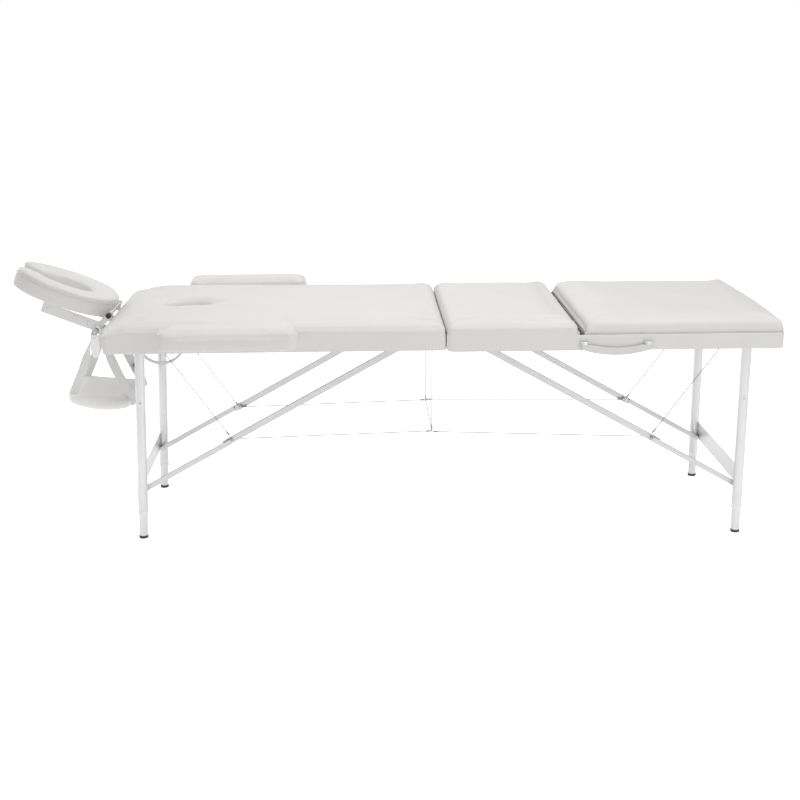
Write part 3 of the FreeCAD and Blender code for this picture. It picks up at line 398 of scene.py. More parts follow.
def remesh(obj, voxel, smooth=4):
    modifier = obj.modifiers.new("voxels", "REMESH")
    modifier.mode = "VOXEL"
    modifier.voxel_size = voxel
    if smooth:
        relax = obj.modifiers.new("relax", "SMOOTH")
        relax.iterations = smooth
        relax.factor = 0.5
    return bake(obj)


def cut(obj, other):
    modifier = obj.modifiers.new("cut", "BOOLEAN")
    modifier.operation = "DIFFERENCE"
    modifier.solver = "EXACT"
    modifier.object = other
    bake(obj)
    bpy.data.objects.remove(other)
    return obj


def reshape(obj, move):
    """Moves each vertex to move(position)."""
    for vertex in obj.data.vertices:
        vertex.co = move(vertex.co)
    obj.data.update()
    return obj


def inflate(obj, pinned, pressure=4.0, cap=0.006, stiffness=15.0, frames=20):
    """Cloth simulation: the cover swells, held where pinned(position) is 1.

    No point moves further than cap.
    """
    rest = [v.co.copy() for v in obj.data.vertices]
    group = obj.vertex_groups.new(name="pinned")
    for vertex in obj.data.vertices:
        group.add([vertex.index], min(1.0, max(0.0, pinned(vertex.co))), "REPLACE")
    modifier = obj.modifiers.new("Cloth", "CLOTH")
    cloth = modifier.settings
    cloth.quality = 4
    cloth.mass = 0.3
    cloth.tension_stiffness = stiffness
    cloth.compression_stiffness = stiffness
    cloth.shear_stiffness = 5.0
    cloth.bending_stiffness = 0.5
    cloth.use_pressure = True
    cloth.uniform_pressure_force = pressure
    cloth.vertex_group_mass = "pinned"
    cloth.effector_weights.gravity = 0.0
    modifier.point_cache.frame_start = 1
    modifier.point_cache.frame_end = frames
    scene = bpy.context.scene
    for number in range(1, frames + 1):
        scene.frame_set(number)
    bake(obj)
    scene.frame_set(1)
    for vertex, start in zip(obj.data.vertices, rest):
        step = vertex.co - start
        if step.length > cap:
            vertex.co = start + step * (cap / step.length)
    obj.vertex_groups.clear()
    return obj


def subdivide(obj, levels=1):
    modifier = obj.modifiers.new("smooth", "SUBSURF")
    modifier.levels = levels
    modifier.render_levels = levels
    return bake(obj)


def thicken(obj, thickness):
    modifier = obj.modifiers.new("thickness", "SOLIDIFY")
    modifier.thickness = thickness
    modifier.offset = -1.0
    modifier.use_even_offset = False
    return bake(obj)


def smoothstep(low, high, value):
    t = min(1.0, max(0.0, (value - low) / (high - low)))
    return t * t * (3 - 2 * t)


def elliptic_prism(name, centre, length, width, z_range):
    bm = bmesh.new()
    bmesh.ops.create_cone(bm, cap_ends=True, segments=96, radius1=0.5, radius2=0.5, depth=1.0)
    size = Matrix.Diagonal((length, width, z_range[1] - z_range[0], 1.0))
    place = Matrix.Translation((centre.x, centre.y, (z_range[0] + z_range[1]) / 2))
    bmesh.ops.transform(bm, matrix=place @ size, verts=bm.verts)
    return from_bmesh(name, bm, VINYL)


def tube_along(name, points, radius, material, sides=12, closed=False):
    """A round cord through the points, as a mesh."""
    curve = bpy.data.curves.new(name, "CURVE")
    curve.dimensions = "3D"
    curve.bevel_depth = radius
    curve.bevel_resolution = max(1, sides // 4)
    curve.use_fill_caps = True
    spline = curve.splines.new("POLY")
    spline.points.add(len(points) - 1)
    for target, point in zip(spline.points, points):
        target.co = (*point, 1.0)
    spline.use_cyclic_u = closed
    obj = bpy.data.objects.new(name, curve)
    bpy.context.scene.collection.objects.link(obj)
    bpy.context.view_layer.update()
    graph = bpy.context.evaluated_depsgraph_get()
    mesh = bpy.data.meshes.new_from_object(obj.evaluated_get(graph))
    bpy.data.objects.remove(obj)
    mesh.shade_smooth()
    return add_object(name, mesh, material)


# ---------------------------------------------------------------- table pads


def crown(obj, low, high, rise, base):
    """Raises the middle of the top a little, as foam under tight vinyl does."""

    def move(p):
        u = 2 * (p.x - low.x) / (high.x - low.x) - 1
        v = 2 * (p.y - low.y) / (high.y - low.y) - 1
        bulge = (1 - u**4) * (1 - v**4)
        return Vector((p.x, p.y, p.z + rise * bulge * smoothstep(base, high.z, p.z)))

    return reshape(obj, move)


def open_below(obj, lip, floor):
    """Removes the underside below the level floor, but leaves a lip that turns in."""
    bm = bmesh.new()
    bm.from_mesh(obj.data)
    low = Vector([min(v.co[i] for v in bm.verts) for i in range(3)])
    high = Vector([max(v.co[i] for v in bm.verts) for i in range(3)])
    gone = []
    for face in bm.faces:
        c = face.calc_center_median()
        inside = min(c.y - low.y, high.y - c.y, c.x - low.x, high.x - c.x) > lip
        if inside and c.z < floor:
            gone.append(face)
    bmesh.ops.delete(bm, geom=gone, context="FACES")
    loose = [v for v in bm.verts if not v.link_faces]
    bmesh.ops.delete(bm, geom=loose, context="VERTS")
    bm.to_mesh(obj.data)
    bm.free()
    return obj


def pin_lower(level, top):
    """1 below level, easing to 0 at top."""
    return lambda p: 1.0 - smoothstep(level, top, p.z)


def ripple(obj, height, size, low):
    """Slight unevenness of foam and glue under the cover."""

    def move(p):
        wave = noise.noise(p * size)
        return Vector((p.x, p.y, p.z + height * wave * smoothstep(low, PAD_TOP, p.z)))

    return reshape(obj, move)


def head_pad():
    low, high = HEAD_PAD
    top = high.z - CROWN_ROOM
    outline = [(low.x, low.z), (high.x, low.z), (high.x, top), (low.x, top)]
    pad = from_bmesh("head_pad_cover", rounded_hexahedron(outline, HALF_WIDTH, 0.020, 0.010), VINYL)
    hole = face_hole()
    size = hole["length"], hole["width"]
    cut(pad, elliptic_prism("face_hole_cutter", hole["centre"], *size, (0.5, 0.7)))
    remesh(pad, VOXEL)
    crown(pad, low, high, 0.004, DECK_TOP)
    ripple(pad, 0.0012, 9.0, DECK_TOP)
    soften_end(pad, low.x, high.x, 0.016)
    roll_rim(pad, hole)
    open_below(pad, 0.020, COVER_EDGE)
    inflate(pad, pin_lower(*COVER_HELD), cap=0.004)
    thicken(pad, 0.003)
    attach(pad, "head_frame")
    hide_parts("head_pad")


def soften_end(obj, end_x, other_x, pull):
    """Foam gives way at the free end: the upper corners draw in and the end wall bellies out."""
    inward = math.copysign(1.0, other_x - end_x)

    def move(p):
        depth = (p.x - end_x) * inward
        side = HALF_WIDTH - abs(p.y)
        high = smoothstep(DECK_TOP - 0.004, PAD_TOP, p.z)
        near_end = 1 - smoothstep(0.0, 0.070, depth)
        near_side = 1 - smoothstep(0.0, 0.070, side)
        corner = near_end * near_side
        belly = 0.009 * (1 - smoothstep(0.0, 0.012, depth)) * (1 - near_side * 0.7)
        belly *= math.sin(math.pi * smoothstep(HEM, PAD_TOP, p.z))
        x = p.x + inward * (pull * corner * high - belly)
        y = p.y - math.copysign(pull * 0.7 * corner * high, p.y)
        return Vector((x, y, p.z - 0.010 * high * near_end * (0.25 + 0.75 * near_side)))

    return reshape(obj, move)


def roll_rim(obj, hole):
    """The cover turns down smoothly into the face hole."""
    centre = hole["centre"]

    def move(p):
        u = (p.x - centre.x) / (hole["length"] / 2)
        v = p.y / (hole["width"] / 2)
        reach = math.hypot(u, v)
        away = max(0.0, reach - 1.0) * hole["width"] / 2
        drop = 0.006 * math.exp(-((away / 0.005) ** 2)) * smoothstep(PAD_TOP - 0.012, PAD_TOP, p.z)
        return Vector((p.x, p.y, p.z - drop))

    return reshape(obj, move)


def face_hole():
    """Centre and size of the face hole, read from the deck's own hole."""
    xs = []
    ys = []
    deck = frame["nodes"]["head_deck"].data
    low, high = DECK
    for v in deck.vertices:
        if low.x + 0.03 < v.co.x < high.x - 0.03 and abs(v.co.y) < high.y - 0.03:
            xs.append(v.co.x)
            ys.append(v.co.y)
    centre = Vector(((min(xs) + max(xs)) / 2, 0, 0))
    lining = 0.006
    length = max(xs) - min(xs) - lining
    return {"centre": centre, "length": length, "width": max(ys) - min(ys) - lining}


def seat_pad():
    low, high = SEAT_PAD
    gap_bottom = SEAT_DECK[1].x + 0.002
    gap_top = gap_bottom - 0.008
    top = high.z - CROWN_ROOM
    outline = [(low.x, FOOT_HEM), (gap_bottom, FOOT_HEM), (gap_top, top), (low.x, top)]
    pad = from_bmesh("seat_pad_cover", rounded_hexahedron(outline, HALF_WIDTH, 0.020, 0.012), VINYL)
    remesh(pad, VOXEL)
    crown(pad, low, Vector((gap_bottom, high.y, high.z)), 0.004, DECK_TOP)
    ripple(pad, 0.0012, 11.0, DECK_TOP)
    open_below(pad, 0.020, COVER_EDGE)
    inflate(pad, pin_lower(*COVER_HELD), cap=0.004)
    thicken(pad, 0.003)
    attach(pad, "foot_frame")
    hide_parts("seat_pad")
    rail_cover(gap_bottom)


def rail_cover(start):
    """The seat's cover carries on round the foot rails, turned in above and below."""
    end = SEAT_PAD[1].x
    top = RAIL_TOP - 0.0004
    lip = 0.012
    corner = 0.012
    tucked = -HALF_WIDTH + 0.0012
    path = [(start - 0.045, tucked), (start - 0.014, tucked)]
    path += [(start, -HALF_WIDTH), (end - corner, -HALF_WIDTH)]
    for step in range(1, 7):
        turn = math.radians(15 * step)
        x = end - corner + corner * math.sin(turn)
        path.append((x, -HALF_WIDTH + corner * (1 - math.cos(turn))))
    path += [(x, -y) for x, y in reversed(path)]
    profile = [(lip, FOOT_HEM + 0.0006), (0.0015, FOOT_HEM + 0.0002), (0.0, FOOT_HEM + 0.003)]
    profile += [(0.0, FOOT_HEM + (top - FOOT_HEM) * k / 6) for k in range(1, 6)]
    profile += [(0.0, top - 0.003), (0.0015, top - 0.0002), (lip, top)]
    bm = bmesh.new()
    rows = []
    for i, (x, y) in enumerate(path):
        before = Vector(path[max(i - 1, 0)])
        after = Vector(path[min(i + 1, len(path) - 1)])
        along = (after - before).normalized()
        inward = Vector((-along.y, along.x))
        rows.append([bm.verts.new((x + inward.x * d, y + inward.y * d, z)) for d, z in profile])
    for first, second in zip(rows, rows[1:]):
        for j in range(len(profile) - 1):
            bm.faces.new((first[j], second[j], second[j + 1], first[j + 1]))
    bmesh.ops.subdivide_edges(bm, edges=[e for e in bm.edges if e.calc_length() > 0.05], cuts=24)
    cover = from_bmesh("foot_rail_cover", bm, VINYL)
    thicken(cover, 0.0024)
    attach(cover, "foot_frame")


def backrest_pad():
    low, high = BACKREST_PAD
    start = BACKREST_DECK[0].x - 0.002
    base = BACKREST_DECK[0].z + 0.0016
    top = high.z - CROWN_ROOM
    outline = [(start, base), (high.x, base), (high.x, top), (start + 0.008, top)]
    block = rounded_hexahedron(outline, HALF_WIDTH - 0.001, 0.020, 0.012, 0.003)
    pad = from_bmesh("backrest_pad_cover", block, VINYL)
    remesh(pad, VOXEL)
    crown(pad, Vector((start, low.y, low.z)), high, 0.005, DECK_TOP)
    ripple(pad, 0.0012, 10.0, DECK_TOP)
    open_below(pad, 0.014, BACKREST_DECK[1].z - 0.003)
    inflate(pad, pin_lower(low.z + 0.002, low.z + 0.016), cap=0.005)
    bow_end(pad, low, high, 0.010)
    thicken(pad, 0.0025)
    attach(pad, "backrest")
    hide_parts("backrest_pad")


def bow_end(obj, low, high, bow):
    """The foam of the foot end bellies out between its two corners."""

    def move(p):
        across = p.y / HALF_WIDTH
        share = smoothstep(high.x - 0.160, high.x, p.x) * max(0.0, 1 - across * across)
        return Vector((p.x + bow * share * smoothstep(low.z, DECK_TOP, p.z), p.y, p.z))

    return reshape(obj, move)


def gap_shade_sheet():
    """Near-black sheet across the rails at the bottom of the gap before the backrest: painted shade
    that stands for the shadow in that gap.
    """
    bm = bmesh.new()
    bmesh.ops.create_grid(bm, x_segments=4, y_segments=60, size=0.5)
    start = SEAT_DECK[1].x + 0.0005
    end = BACKREST_DECK[0].x - 0.0005
    size = Matrix.Diagonal((end - start, 2 * HALF_WIDTH - 0.004, 1.0, 1.0))
    place = Matrix.Translation(((start + end) / 2, 0, RAIL_TOP + 0.0004))
    bmesh.ops.transform(bm, matrix=place @ size, verts=bm.verts)
    for v in bm.verts:
        v.co.z += 0.0002 * noise.noise(v.co * 60.0)
    strip = from_bmesh("backrest_gap_shade_sheet", bm, GAP_SHADE_SHEET)
    thicken(strip, 0.0003)
    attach(strip, "foot_frame")


# ---------------------------------------------------------------- headrest


BOARD_SLOPE = math.radians(20.5)
CUSHION_LEVEL = (-0.0224, 0.0362)
RIM_SEAM = 0.0225
LOW_SEAM = -0.0105
LOWER_FRAME_SLOPE = math.radians(21.5)


def sloped_axes():
    """The headrest board's place: origin at the tilt pivot, x outward along it, z up from it."""
    out = Vector((-math.cos(BOARD_SLOPE), 0, math.sin(BOARD_SLOPE)))
    up = Vector((math.sin(BOARD_SLOPE), 0, math.cos(BOARD_SLOPE)))
    turn = Matrix((out, up.cross(out), up)).transposed().to_4x4()
    return Matrix.Translation(joint_place("headrest_tilt")) @ turn


def joint_place(name):
    for joint in frame["joints"]:
        if joint["name"] == name:
            return Vector(joint["pos_m"])
    raise KeyError(name)


def rounded_outline(points, radii, steps=5):
    """Replaces each corner of a closed outline by an arc of the given radius."""
    result = []
    for i, corner in enumerate(points):
        corner = Vector(corner)
        to_last = (Vector(points[i - 1]) - corner).normalized()
        to_next = (Vector(points[(i + 1) % len(points)]) - corner).normalized()
        start = corner + to_last * radii[i]
        end = corner + to_next * radii[i]
        for k in range(steps + 1):
            t = k / steps
            result.append(start * (1 - t) ** 2 + corner * (2 * t * (1 - t)) + end * t**2)
    return result


CUSHION_CENTRE = 0.151
CUSHION_HALF = (0.151, 0.119)
CUSHION_HOLE_HALF = (0.074, 0.048)
CUSHION_TAPER = 0.10
TIP_ANGLE = math.radians(11)


def cushion_plan(turn):
    """Outer and inner point of the egg-shaped horseshoe at an angle from its open, narrow end."""
    c, d = math.cos(turn), math.sin(turn)
    full = math.copysign(abs(c) ** 0.94, c), math.copysign(abs(d) ** 0.92, d)
    width = CUSHION_HALF[1] * (1 - CUSHION_TAPER * c)
    outer = Vector((CUSHION_CENTRE + CUSHION_HALF[0] * full[0], width * full[1]))
    inner = Vector((CUSHION_CENTRE + CUSHION_HOLE_HALF[0] * c, CUSHION_HOLE_HALF[1] * d))
    return outer, inner


def headrest_cushion():
    """Horseshoe cushion: a tall outer wall, a crisp rim and a top that falls towards the hole."""
    low, top = CUSHION_LEVEL
    corners = [(0.0, low), (0.0, top - 0.007), (1.0, top), (1.0, low)]
    radii = [0.006, 0.012, 0.011, 0.006]
    opening = math.radians(15)
    steps = 96
    bm = bmesh.new()
    rings = []
    for i in range(steps + 1):
        turn = opening + (2 * math.pi - 2 * opening) * i / steps
        outer, inner = cushion_plan(turn)
        to_tip = min(turn - opening, 2 * math.pi - opening - turn) / TIP_ANGLE
        full = math.sqrt(1 - (1 - min(1.0, to_tip)) ** 2)
        squeeze = 0.35 * (1 - full)
        outer, inner = outer.lerp(inner, squeeze), inner.lerp(outer, squeeze)
        reach = (outer - inner).length
        shaped = rounded_outline([(q[0] * reach, q[1]) for q in corners], radii)
        ring = []
        for across, height in shaped:
            flat = inner.lerp(outer, across / reach)
            ring.append(bm.verts.new((flat.x, flat.y, height)))
        rings.append(ring)
    skin_rings(bm, rings)
    cushion = from_bmesh("headrest_cushion_cover", bm, VINYL)
    remesh(cushion, 0.005, 5)
    inflate(cushion, pin_lower(low + 0.006, low + 0.018), cap=0.004)
    reshape(cushion, cushion_seam)
    subdivide(cushion)
    cushion.data.transform(sloped_axes())
    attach(cushion, "headrest")
    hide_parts("headrest_cushion")
    cushion_piping()


def cushion_seam(p):
    """Sewn seams that draw the cover in all round: one under the rim and one low on the wall."""
    away = Vector(((p.x - CUSHION_CENTRE) / CUSHION_HALF[0], p.y / CUSHION_HALF[1], 0))
    if away.length < 0.88:
        return p
    seams = RIM_SEAM, LOW_SEAM
    groove = sum(math.exp(-(((p.z - level) / SEAM_WIDTH) ** 2)) for level in seams)
    inward = Vector((p.x - CUSHION_CENTRE, p.y, 0)).normalized()
    return p - inward * (0.0013 * groove)


def cushion_piping():
    """Thin cord sewn into the seam under the rim."""
    points = []
    start = math.radians(24)
    steps = 120
    for i in range(steps + 1):
        turn = start + (2 * math.pi - 2 * start) * i / steps
        outer, inner = cushion_plan(turn)
        outward = (outer - inner).to_3d().normalized()
        points.append(Vector((outer.x, outer.y, RIM_SEAM)) + outward * 0.0012)
    cord = tube_along("headrest_cushion_piping", points, 0.0013, VINYL_PIPING)
    cord.data.transform(sloped_axes())
    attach(cord, "headrest")


# ---------------------------------------------------------------- armrests


def armrest(side):
    low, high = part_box(side + "_armrest_pad")
    base = low.z - 0.0052
    outline = [(low.x, base), (high.x, base), (high.x, high.z), (low.x, high.z)]
    half_width = (high.y - low.y) / 2 - 0.003
    half_length = (high.x - low.x) / 2
    bm = rounded_hexahedron(outline, half_width, 0.016, 0.022, 0.006)
    bmesh.ops.translate(bm, vec=(0, (low.y + high.y) / 2, 0), verts=bm.verts)
    pad = from_bmesh(side + "_armrest_cover", bm, VINYL)
    remesh(pad, 0.005)
    inflate(pad, pin_lower(base + 0.002, base + 0.014), cap=0.004)
    seam = low.z + 0.68 * (high.z - low.z)
    middle = Vector(((low.x + high.x) / 2, (low.y + high.y) / 2, 0))

    def sew(p):
        groove = 0.0018 * math.exp(-(((p.z - seam) / SEAM_WIDTH) ** 2))
        away = p - middle
        out_y = math.copysign(1.0, away.y) if abs(away.y) > half_width - 0.012 else 0.0
        out_x = math.copysign(1.0, away.x) if abs(away.x) > half_length - 0.012 else 0.0
        return Vector((p.x - out_x * groove, p.y - out_y * groove, p.z))

    reshape(pad, sew)
    subdivide(pad)
    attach(pad, side + "_armrest")
    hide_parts(side + "_armrest_pad")


# ---------------------------------------------------------------- arm sling


def sling_shelf():
    """Padded shelf: a soft tray that sags in the middle and dips a little towards the table."""
    low, high = SHELF
    left, right, base = low.x + 0.002, high.x - 0.002, low.z + 0.01
    outline = [(left, base), (right, base), (right, high.z), (left, high.z)]
    bm = rounded_hexahedron(outline, (high.y - low.y) / 2 - 0.002, 0.012, 0.018, 0.012)
    # painted light: the shelf cover uses the lighter copy of the vinyl to brighten its shaded top
    shelf = from_bmesh("sling_shelf_cover", bm, VINYL_SHELF_PAINTED_LIGHT)
    remesh(shelf, 0.005)
    middle = (low + high) / 2
    half = (high - low) / 2

    def sag(p):
        u = (p.x - middle.x) / half.x
        v = (p.y - middle.y) / half.y
        belly = (1 - u * u) * (1 - 0.6 * v * v)
        lower = smoothstep(high.z - 0.004, low.z + 0.01, p.z)
        pinch = 0.006 * (u * u) * lower
        return Vector((p.x, p.y, p.z - 0.010 * belly - 0.009 * belly * lower + pinch - 0.008 * u))

    reshape(shelf, sag)
    inflate(shelf, lambda p: smoothstep(half.x - 0.012, half.x, abs(p.x - middle.x)), cap=0.005)
    subdivide(shelf)
    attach(shelf, "arm_sling")
    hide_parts("sling_shelf")


def band(name, stations, width, thickness, material):
    """A flat band: stations are (point, direction of its width), joined in order."""
    bm = bmesh.new()
    rows = []
    for i, (point, across) in enumerate(stations):
        before = stations[max(i - 1, 0)][0]
        after = stations[min(i + 1, len(stations) - 1)][0]
        along = (after - before).normalized()
        across = (across - along * across.dot(along)).normalized()
        out = along.cross(across)
        row = []
        for lift in (-0.5, 0.5):
            for k in range(7):
                share = (k / 6 - 0.5) * (1 if lift < 0 else -1)
                edge = 1 - 0.55 * (2 * abs(share)) ** 6
                spot = point + across * (share * width) + out * (lift * thickness * edge)
                row.append(bm.verts.new(spot))
        rows.append(row)
    skin_rings(bm, rows)
    return from_bmesh(name, bm, material)


def sling_straps():
    """Four hanging bands, each round the cross tube and twisted on its way to a shelf corner."""
    pivot = joint_place("sling_swing")
    outer_y = STRAPS[1].y
    width = 0.027
    twist = math.radians(74)
    for side in (-1, 1):
        for end in (-1, 1):
            y = side * (outer_y - STRAP_INSET)
            reach_out = (SHELF[1].x - SHELF[0].x) / 2 - (0.012 if end < 0 else 0.0)
            corner = Vector((pivot.x + end * reach_out, y, SHELF[1].z - 0.004 - 0.008 * end))
            stations = []
            for step in range(7):
                turn = math.radians(90 * (1 - step / 6))
                reach = 0.0108 + 0.0012 * end
                x = pivot.x + end * reach * math.cos(turn)
                spot = Vector((x, y, pivot.z + reach * math.sin(turn)))
                stations.append((spot, Vector((0, 1, 0))))
            start = stations[-1][0]
            for step in range(1, 21):
                t = step / 20
                spot = start.lerp(corner, t)
                spot.x -= end * 0.007 * math.sin(math.pi * t)
                turn = twist * smoothstep(0.05, 0.55, t)
                across = Vector((math.sin(turn) * end, math.cos(turn), 0))
                stations.append((spot, across))
            low = corner + Vector((end * 0.002, 0, -0.022))
            stations.append((low, Vector((math.sin(twist) * end, math.cos(twist), 0))))
            side_name = "near" if side < 0 else "far"
            end_name = "inner" if end > 0 else "outer"
            name = side_name + "_" + end_name + "_sling_strap"
            strap = band(name, stations, width, 0.0018, WEBBING)
            subdivide(strap)
            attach(strap, "arm_sling")
            if side < 0 and end < 0:
                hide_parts("sling_straps")


# ---------------------------------------------------------------- small fittings


def cam_lever():
    """Moulded lever paddle with a round boss on the cross tube's end."""
    low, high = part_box("cam_lever")
    pivot = joint_place("cam_lever_swing")
    middle_y = (low.y + high.y) / 2
    centre = Vector((pivot.x, middle_y, (low.z + pivot.z) / 2 - 0.001))
    bm = bmesh.new()
    sides = 48
    levels = [(-0.0046, 0.86), (-0.0038, 0.95), (-0.002, 1.0)]
    levels += [(-depth, scale) for depth, scale in reversed(levels)]
    rings = []
    for depth, scale in levels:
        ring = []
        for i in range(sides):
            turn = 2 * math.pi * i / sides
            c, d = math.cos(turn), math.sin(turn)
            x = math.copysign(abs(c) ** 0.75, c) * 0.0128 * scale
            z = math.copysign(abs(d) ** 0.8, d) * (0.0370 - 0.0018 * (1 - scale) / 0.14)
            narrow = 1.0 - 0.16 * smoothstep(0.0, 0.037, z)
            ring.append(bm.verts.new(centre + Vector((x * narrow, depth, z))))
        rings.append(ring)
    skin_rings(bm, rings)
    lever = from_bmesh("cam_lever_paddle", bm, WHITE_PLASTIC)
    subdivide(lever)
    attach(lever, "cam_lever_body")
    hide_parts("cam_lever")
    profile = [(0.0, -0.001), (0.0078, -0.001), (0.0086, 0.0004)]
    profile += [(0.0086, 0.0028), (0.0074, 0.0040), (0.0, 0.0044)]
    boss = lathe("cam_lever_boss", profile, STEEL)
    turn = Matrix.Rotation(math.radians(90), 4, "X")
    boss.data.transform(Matrix.Translation((pivot.x, middle_y - 0.0046, pivot.z - 0.006)) @ turn)
    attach(boss, "cam_lever_body")


def lift_frame_screws():
    """Screws along the near arm of the headrest's lower frame."""
    pivot = joint_place("headrest_lift")
    out = Vector((-math.cos(LOWER_FRAME_SLOPE), 0, math.sin(LOWER_FRAME_SLOPE)))
    up = Vector((math.sin(LOWER_FRAME_SLOPE), 0, math.cos(LOWER_FRAME_SLOPE)))
    face_y = -0.0822
    places = []
    pattern = ((0.030, 0.004), (0.030, 0.014), (0.064, 0.017), (0.072, 0.017), (0.150, 0.008))
    for along, lift in pattern:
        spot = pivot + out * along + up * lift
        places.append((Vector((spot.x, face_y, spot.z)), (0, -1, 0)))
    screws("lift_frame_screws", places, 0.0026, "headrest_lifter")


def strut_plugs():
    """Black plastic plugs in the knee ends of the upper struts."""
    for half in ("head", "foot"):
        node = frame["nodes"][half + "_upper_struts"].data
        knee = joint_place(half + "_run_cable_fold")
        deck = joint_place(half + "_upper_strut_fold")
        along = (knee - deck).normalized()
        end = max((v.co - deck).dot(along) for v in node.vertices)
        half_y = [abs(v.co.y) for v in node.vertices]
        for side in (-1, 1):
            middle_y = side * (min(half_y) + max(half_y)) / 2
            bm = bmesh.new()
            bmesh.ops.create_cube(bm, size=1.0)
            bevel(bm, list(bm.edges), 0.16, 3)
            size = Matrix.Diagonal((0.005, 0.0110, 0.0150, 1.0))
            slope = math.atan2(along.z, along.x)
            centre = deck + along * (end - 0.0015)
            place = Matrix.Translation((centre.x, middle_y, centre.z))
            place = place @ Matrix.Rotation(-slope, 4, "Y")
            bmesh.ops.transform(bm, matrix=place @ size, verts=bm.verts)
            side_name = "near" if side < 0 else "far"
            plug = from_bmesh(half + "_" + side_name + "_strut_plug", bm, BLACK_PLASTIC)
            subdivide(plug)
            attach(plug, half + "_upper_struts_body")


def leg_collars():
    """A plastic glide ring closes the gap between the two tubes at each leg's lower end."""
    profile = [(0.0125, -0.004), (0.0138, -0.004), (0.0144, -0.003)]
    profile += [(0.0144, 0.007), (0.0141, 0.008), (0.0125, 0.008)]
    for half in ("head", "foot"):
        mesh = frame["nodes"][half + "_leg_tubes"].data
        low = min(v.co.z for v in mesh.vertices)
        for side in (-1, 1):
            ring = [v.co for v in mesh.vertices if v.co.z < low + 0.003 and v.co.y * side > 0]
            centre = sum(ring, Vector()) / len(ring)
            top = [v.co for v in mesh.vertices if v.co.z > low + 0.45 and v.co.y * side > 0]
            axis = (sum(top, Vector()) / len(top) - centre).normalized()
            name = half + ("_near" if side < 0 else "_far") + "_leg_collar"
            collar = lathe(name, profile, WHITE_PLASTIC)
            turn = axis.to_track_quat("Z", "Y").to_matrix().to_4x4()
            collar.data.transform(Matrix.Translation(centre - axis * 0.0035) @ turn)
            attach(collar, half + "_legs")


def lathe(name, profile, material, sides=40):
    """A (radius, height) profile turned about Z.

    It closes on itself, or on the axis where its radius is 0.
    """
    bm = bmesh.new()
    rings = []
    for radius, height in profile:
        if radius == 0.0:
            rings.append([bm.verts.new((0, 0, height))] * sides)
            continue
        ring = []
        for i in range(sides):
            turn = 2 * math.pi * i / sides
            ring.append(bm.verts.new((radius * math.cos(turn), radius * math.sin(turn), height)))
        rings.append(ring)
    pairs = list(zip(rings, rings[1:]))
    if profile[0][0] > 0.0:
        pairs.append((rings[-1], rings[0]))
    for first, second in pairs:
        for i in range(sides):
            j = (i + 1) % sides
            corners = [first[i], first[j], second[j], second[i]]
            unique = [v for k, v in enumerate(corners) if v not in corners[:k]]
            bm.faces.new(unique)
    bmesh.ops.recalc_face_normals(bm, faces=bm.faces)
    return from_bmesh(name, bm, material)


def screw_head(bm, place, radius):
    """A pan-head screw with a cross recess, standing along local +Z."""
    profile = [(0.0, 0.42), (0.35, 0.40), (0.7, 0.28), (0.95, 0.08), (1.0, 0.0), (1.0, -0.1)]
    sides = 20
    rings = []
    for r, z in profile:
        if r == 0.0:
            rings.append([bm.verts.new(place @ Vector((0, 0, z * radius * 0.6)))])
            continue
        ring = []
        for i in range(sides):
            turn = 2 * math.pi * i / sides
            dent = 0.28 * max(0.0, math.cos(4 * turn)) ** 6 if r < 0.5 else 0.0
            local = Vector((r * math.cos(turn), r * math.sin(turn), z - dent)) * radius
            ring.append(bm.verts.new(place @ local))
        rings.append(ring)
    centre = rings[0][0]
    centre.co = place @ Vector((0, 0, 0.12 * radius))
    for i in range(sides):
        bm.faces.new((centre, rings[1][i], rings[1][(i + 1) % sides]))
        for first, second in zip(rings[1:], rings[2:]):
            bm.faces.new((first[i], second[i], second[(i + 1) % sides], first[(i + 1) % sides]))
    bm.faces.new(list(reversed(rings[-1])))


def screws(name, places, radius, body):
    bm = bmesh.new()
    for point, facing in places:
        turn = Vector(facing).to_track_quat("Z", "Y").to_matrix().to_4x4()
        screw_head(bm, Matrix.Translation(point) @ turn, radius)
    bmesh.ops.recalc_face_normals(bm, faces=bm.faces)
    piece = from_bmesh(name, bm, STEEL)
    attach(piece, body)


def bracket_screws():
    """Screws that hold the leg and strut brackets to the decks."""
    for half in ("head", "foot"):
        leg = joint_place(half + "_leg_fold")
        out = -1 if half == "head" else 1
        leg_y = leg_spread(half)
        level = RAIL_TOP - 0.003
        places = []
        for side in (-1, 1):
            for along in (0.026, 0.052):
                for across in (-0.008, 0.008):
                    place = Vector((leg.x + out * along, side * leg_y + across, level))
                    places.append((place, (0, 0, -1)))
        screws(half + "_bracket_screws", places, 0.0038, half + "_frame")


def handle_studs():
    """Domed studs on the two ends of the carry handle."""
    low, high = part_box("carry_handle")
    pivot = joint_place("handle_swing")
    dome = [(0.0, 0.0024), (0.0022, 0.0021), (0.0040, 0.0010)]
    dome += [(0.0047, -0.0004), (0.0047, -0.0016), (0.0, -0.0016)]
    facing = Matrix.Rotation(math.radians(90), 4, "X")
    for end, x in (("inner", low.x + 0.008), ("outer", high.x - 0.008)):
        stud = lathe("handle_" + end + "_stud", dome, WHITE_PLASTIC)
        stud.data.transform(Matrix.Translation((x, low.y - 0.0004, pivot.z)) @ facing)
        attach(stud, "carry_handle_body")


def leg_spread(half):
    mesh = frame["nodes"][half + "_leg_tubes"].data
    ys = [v.co.y for v in mesh.vertices if v.co.y > 0]
    return (min(ys) + max(ys)) / 2


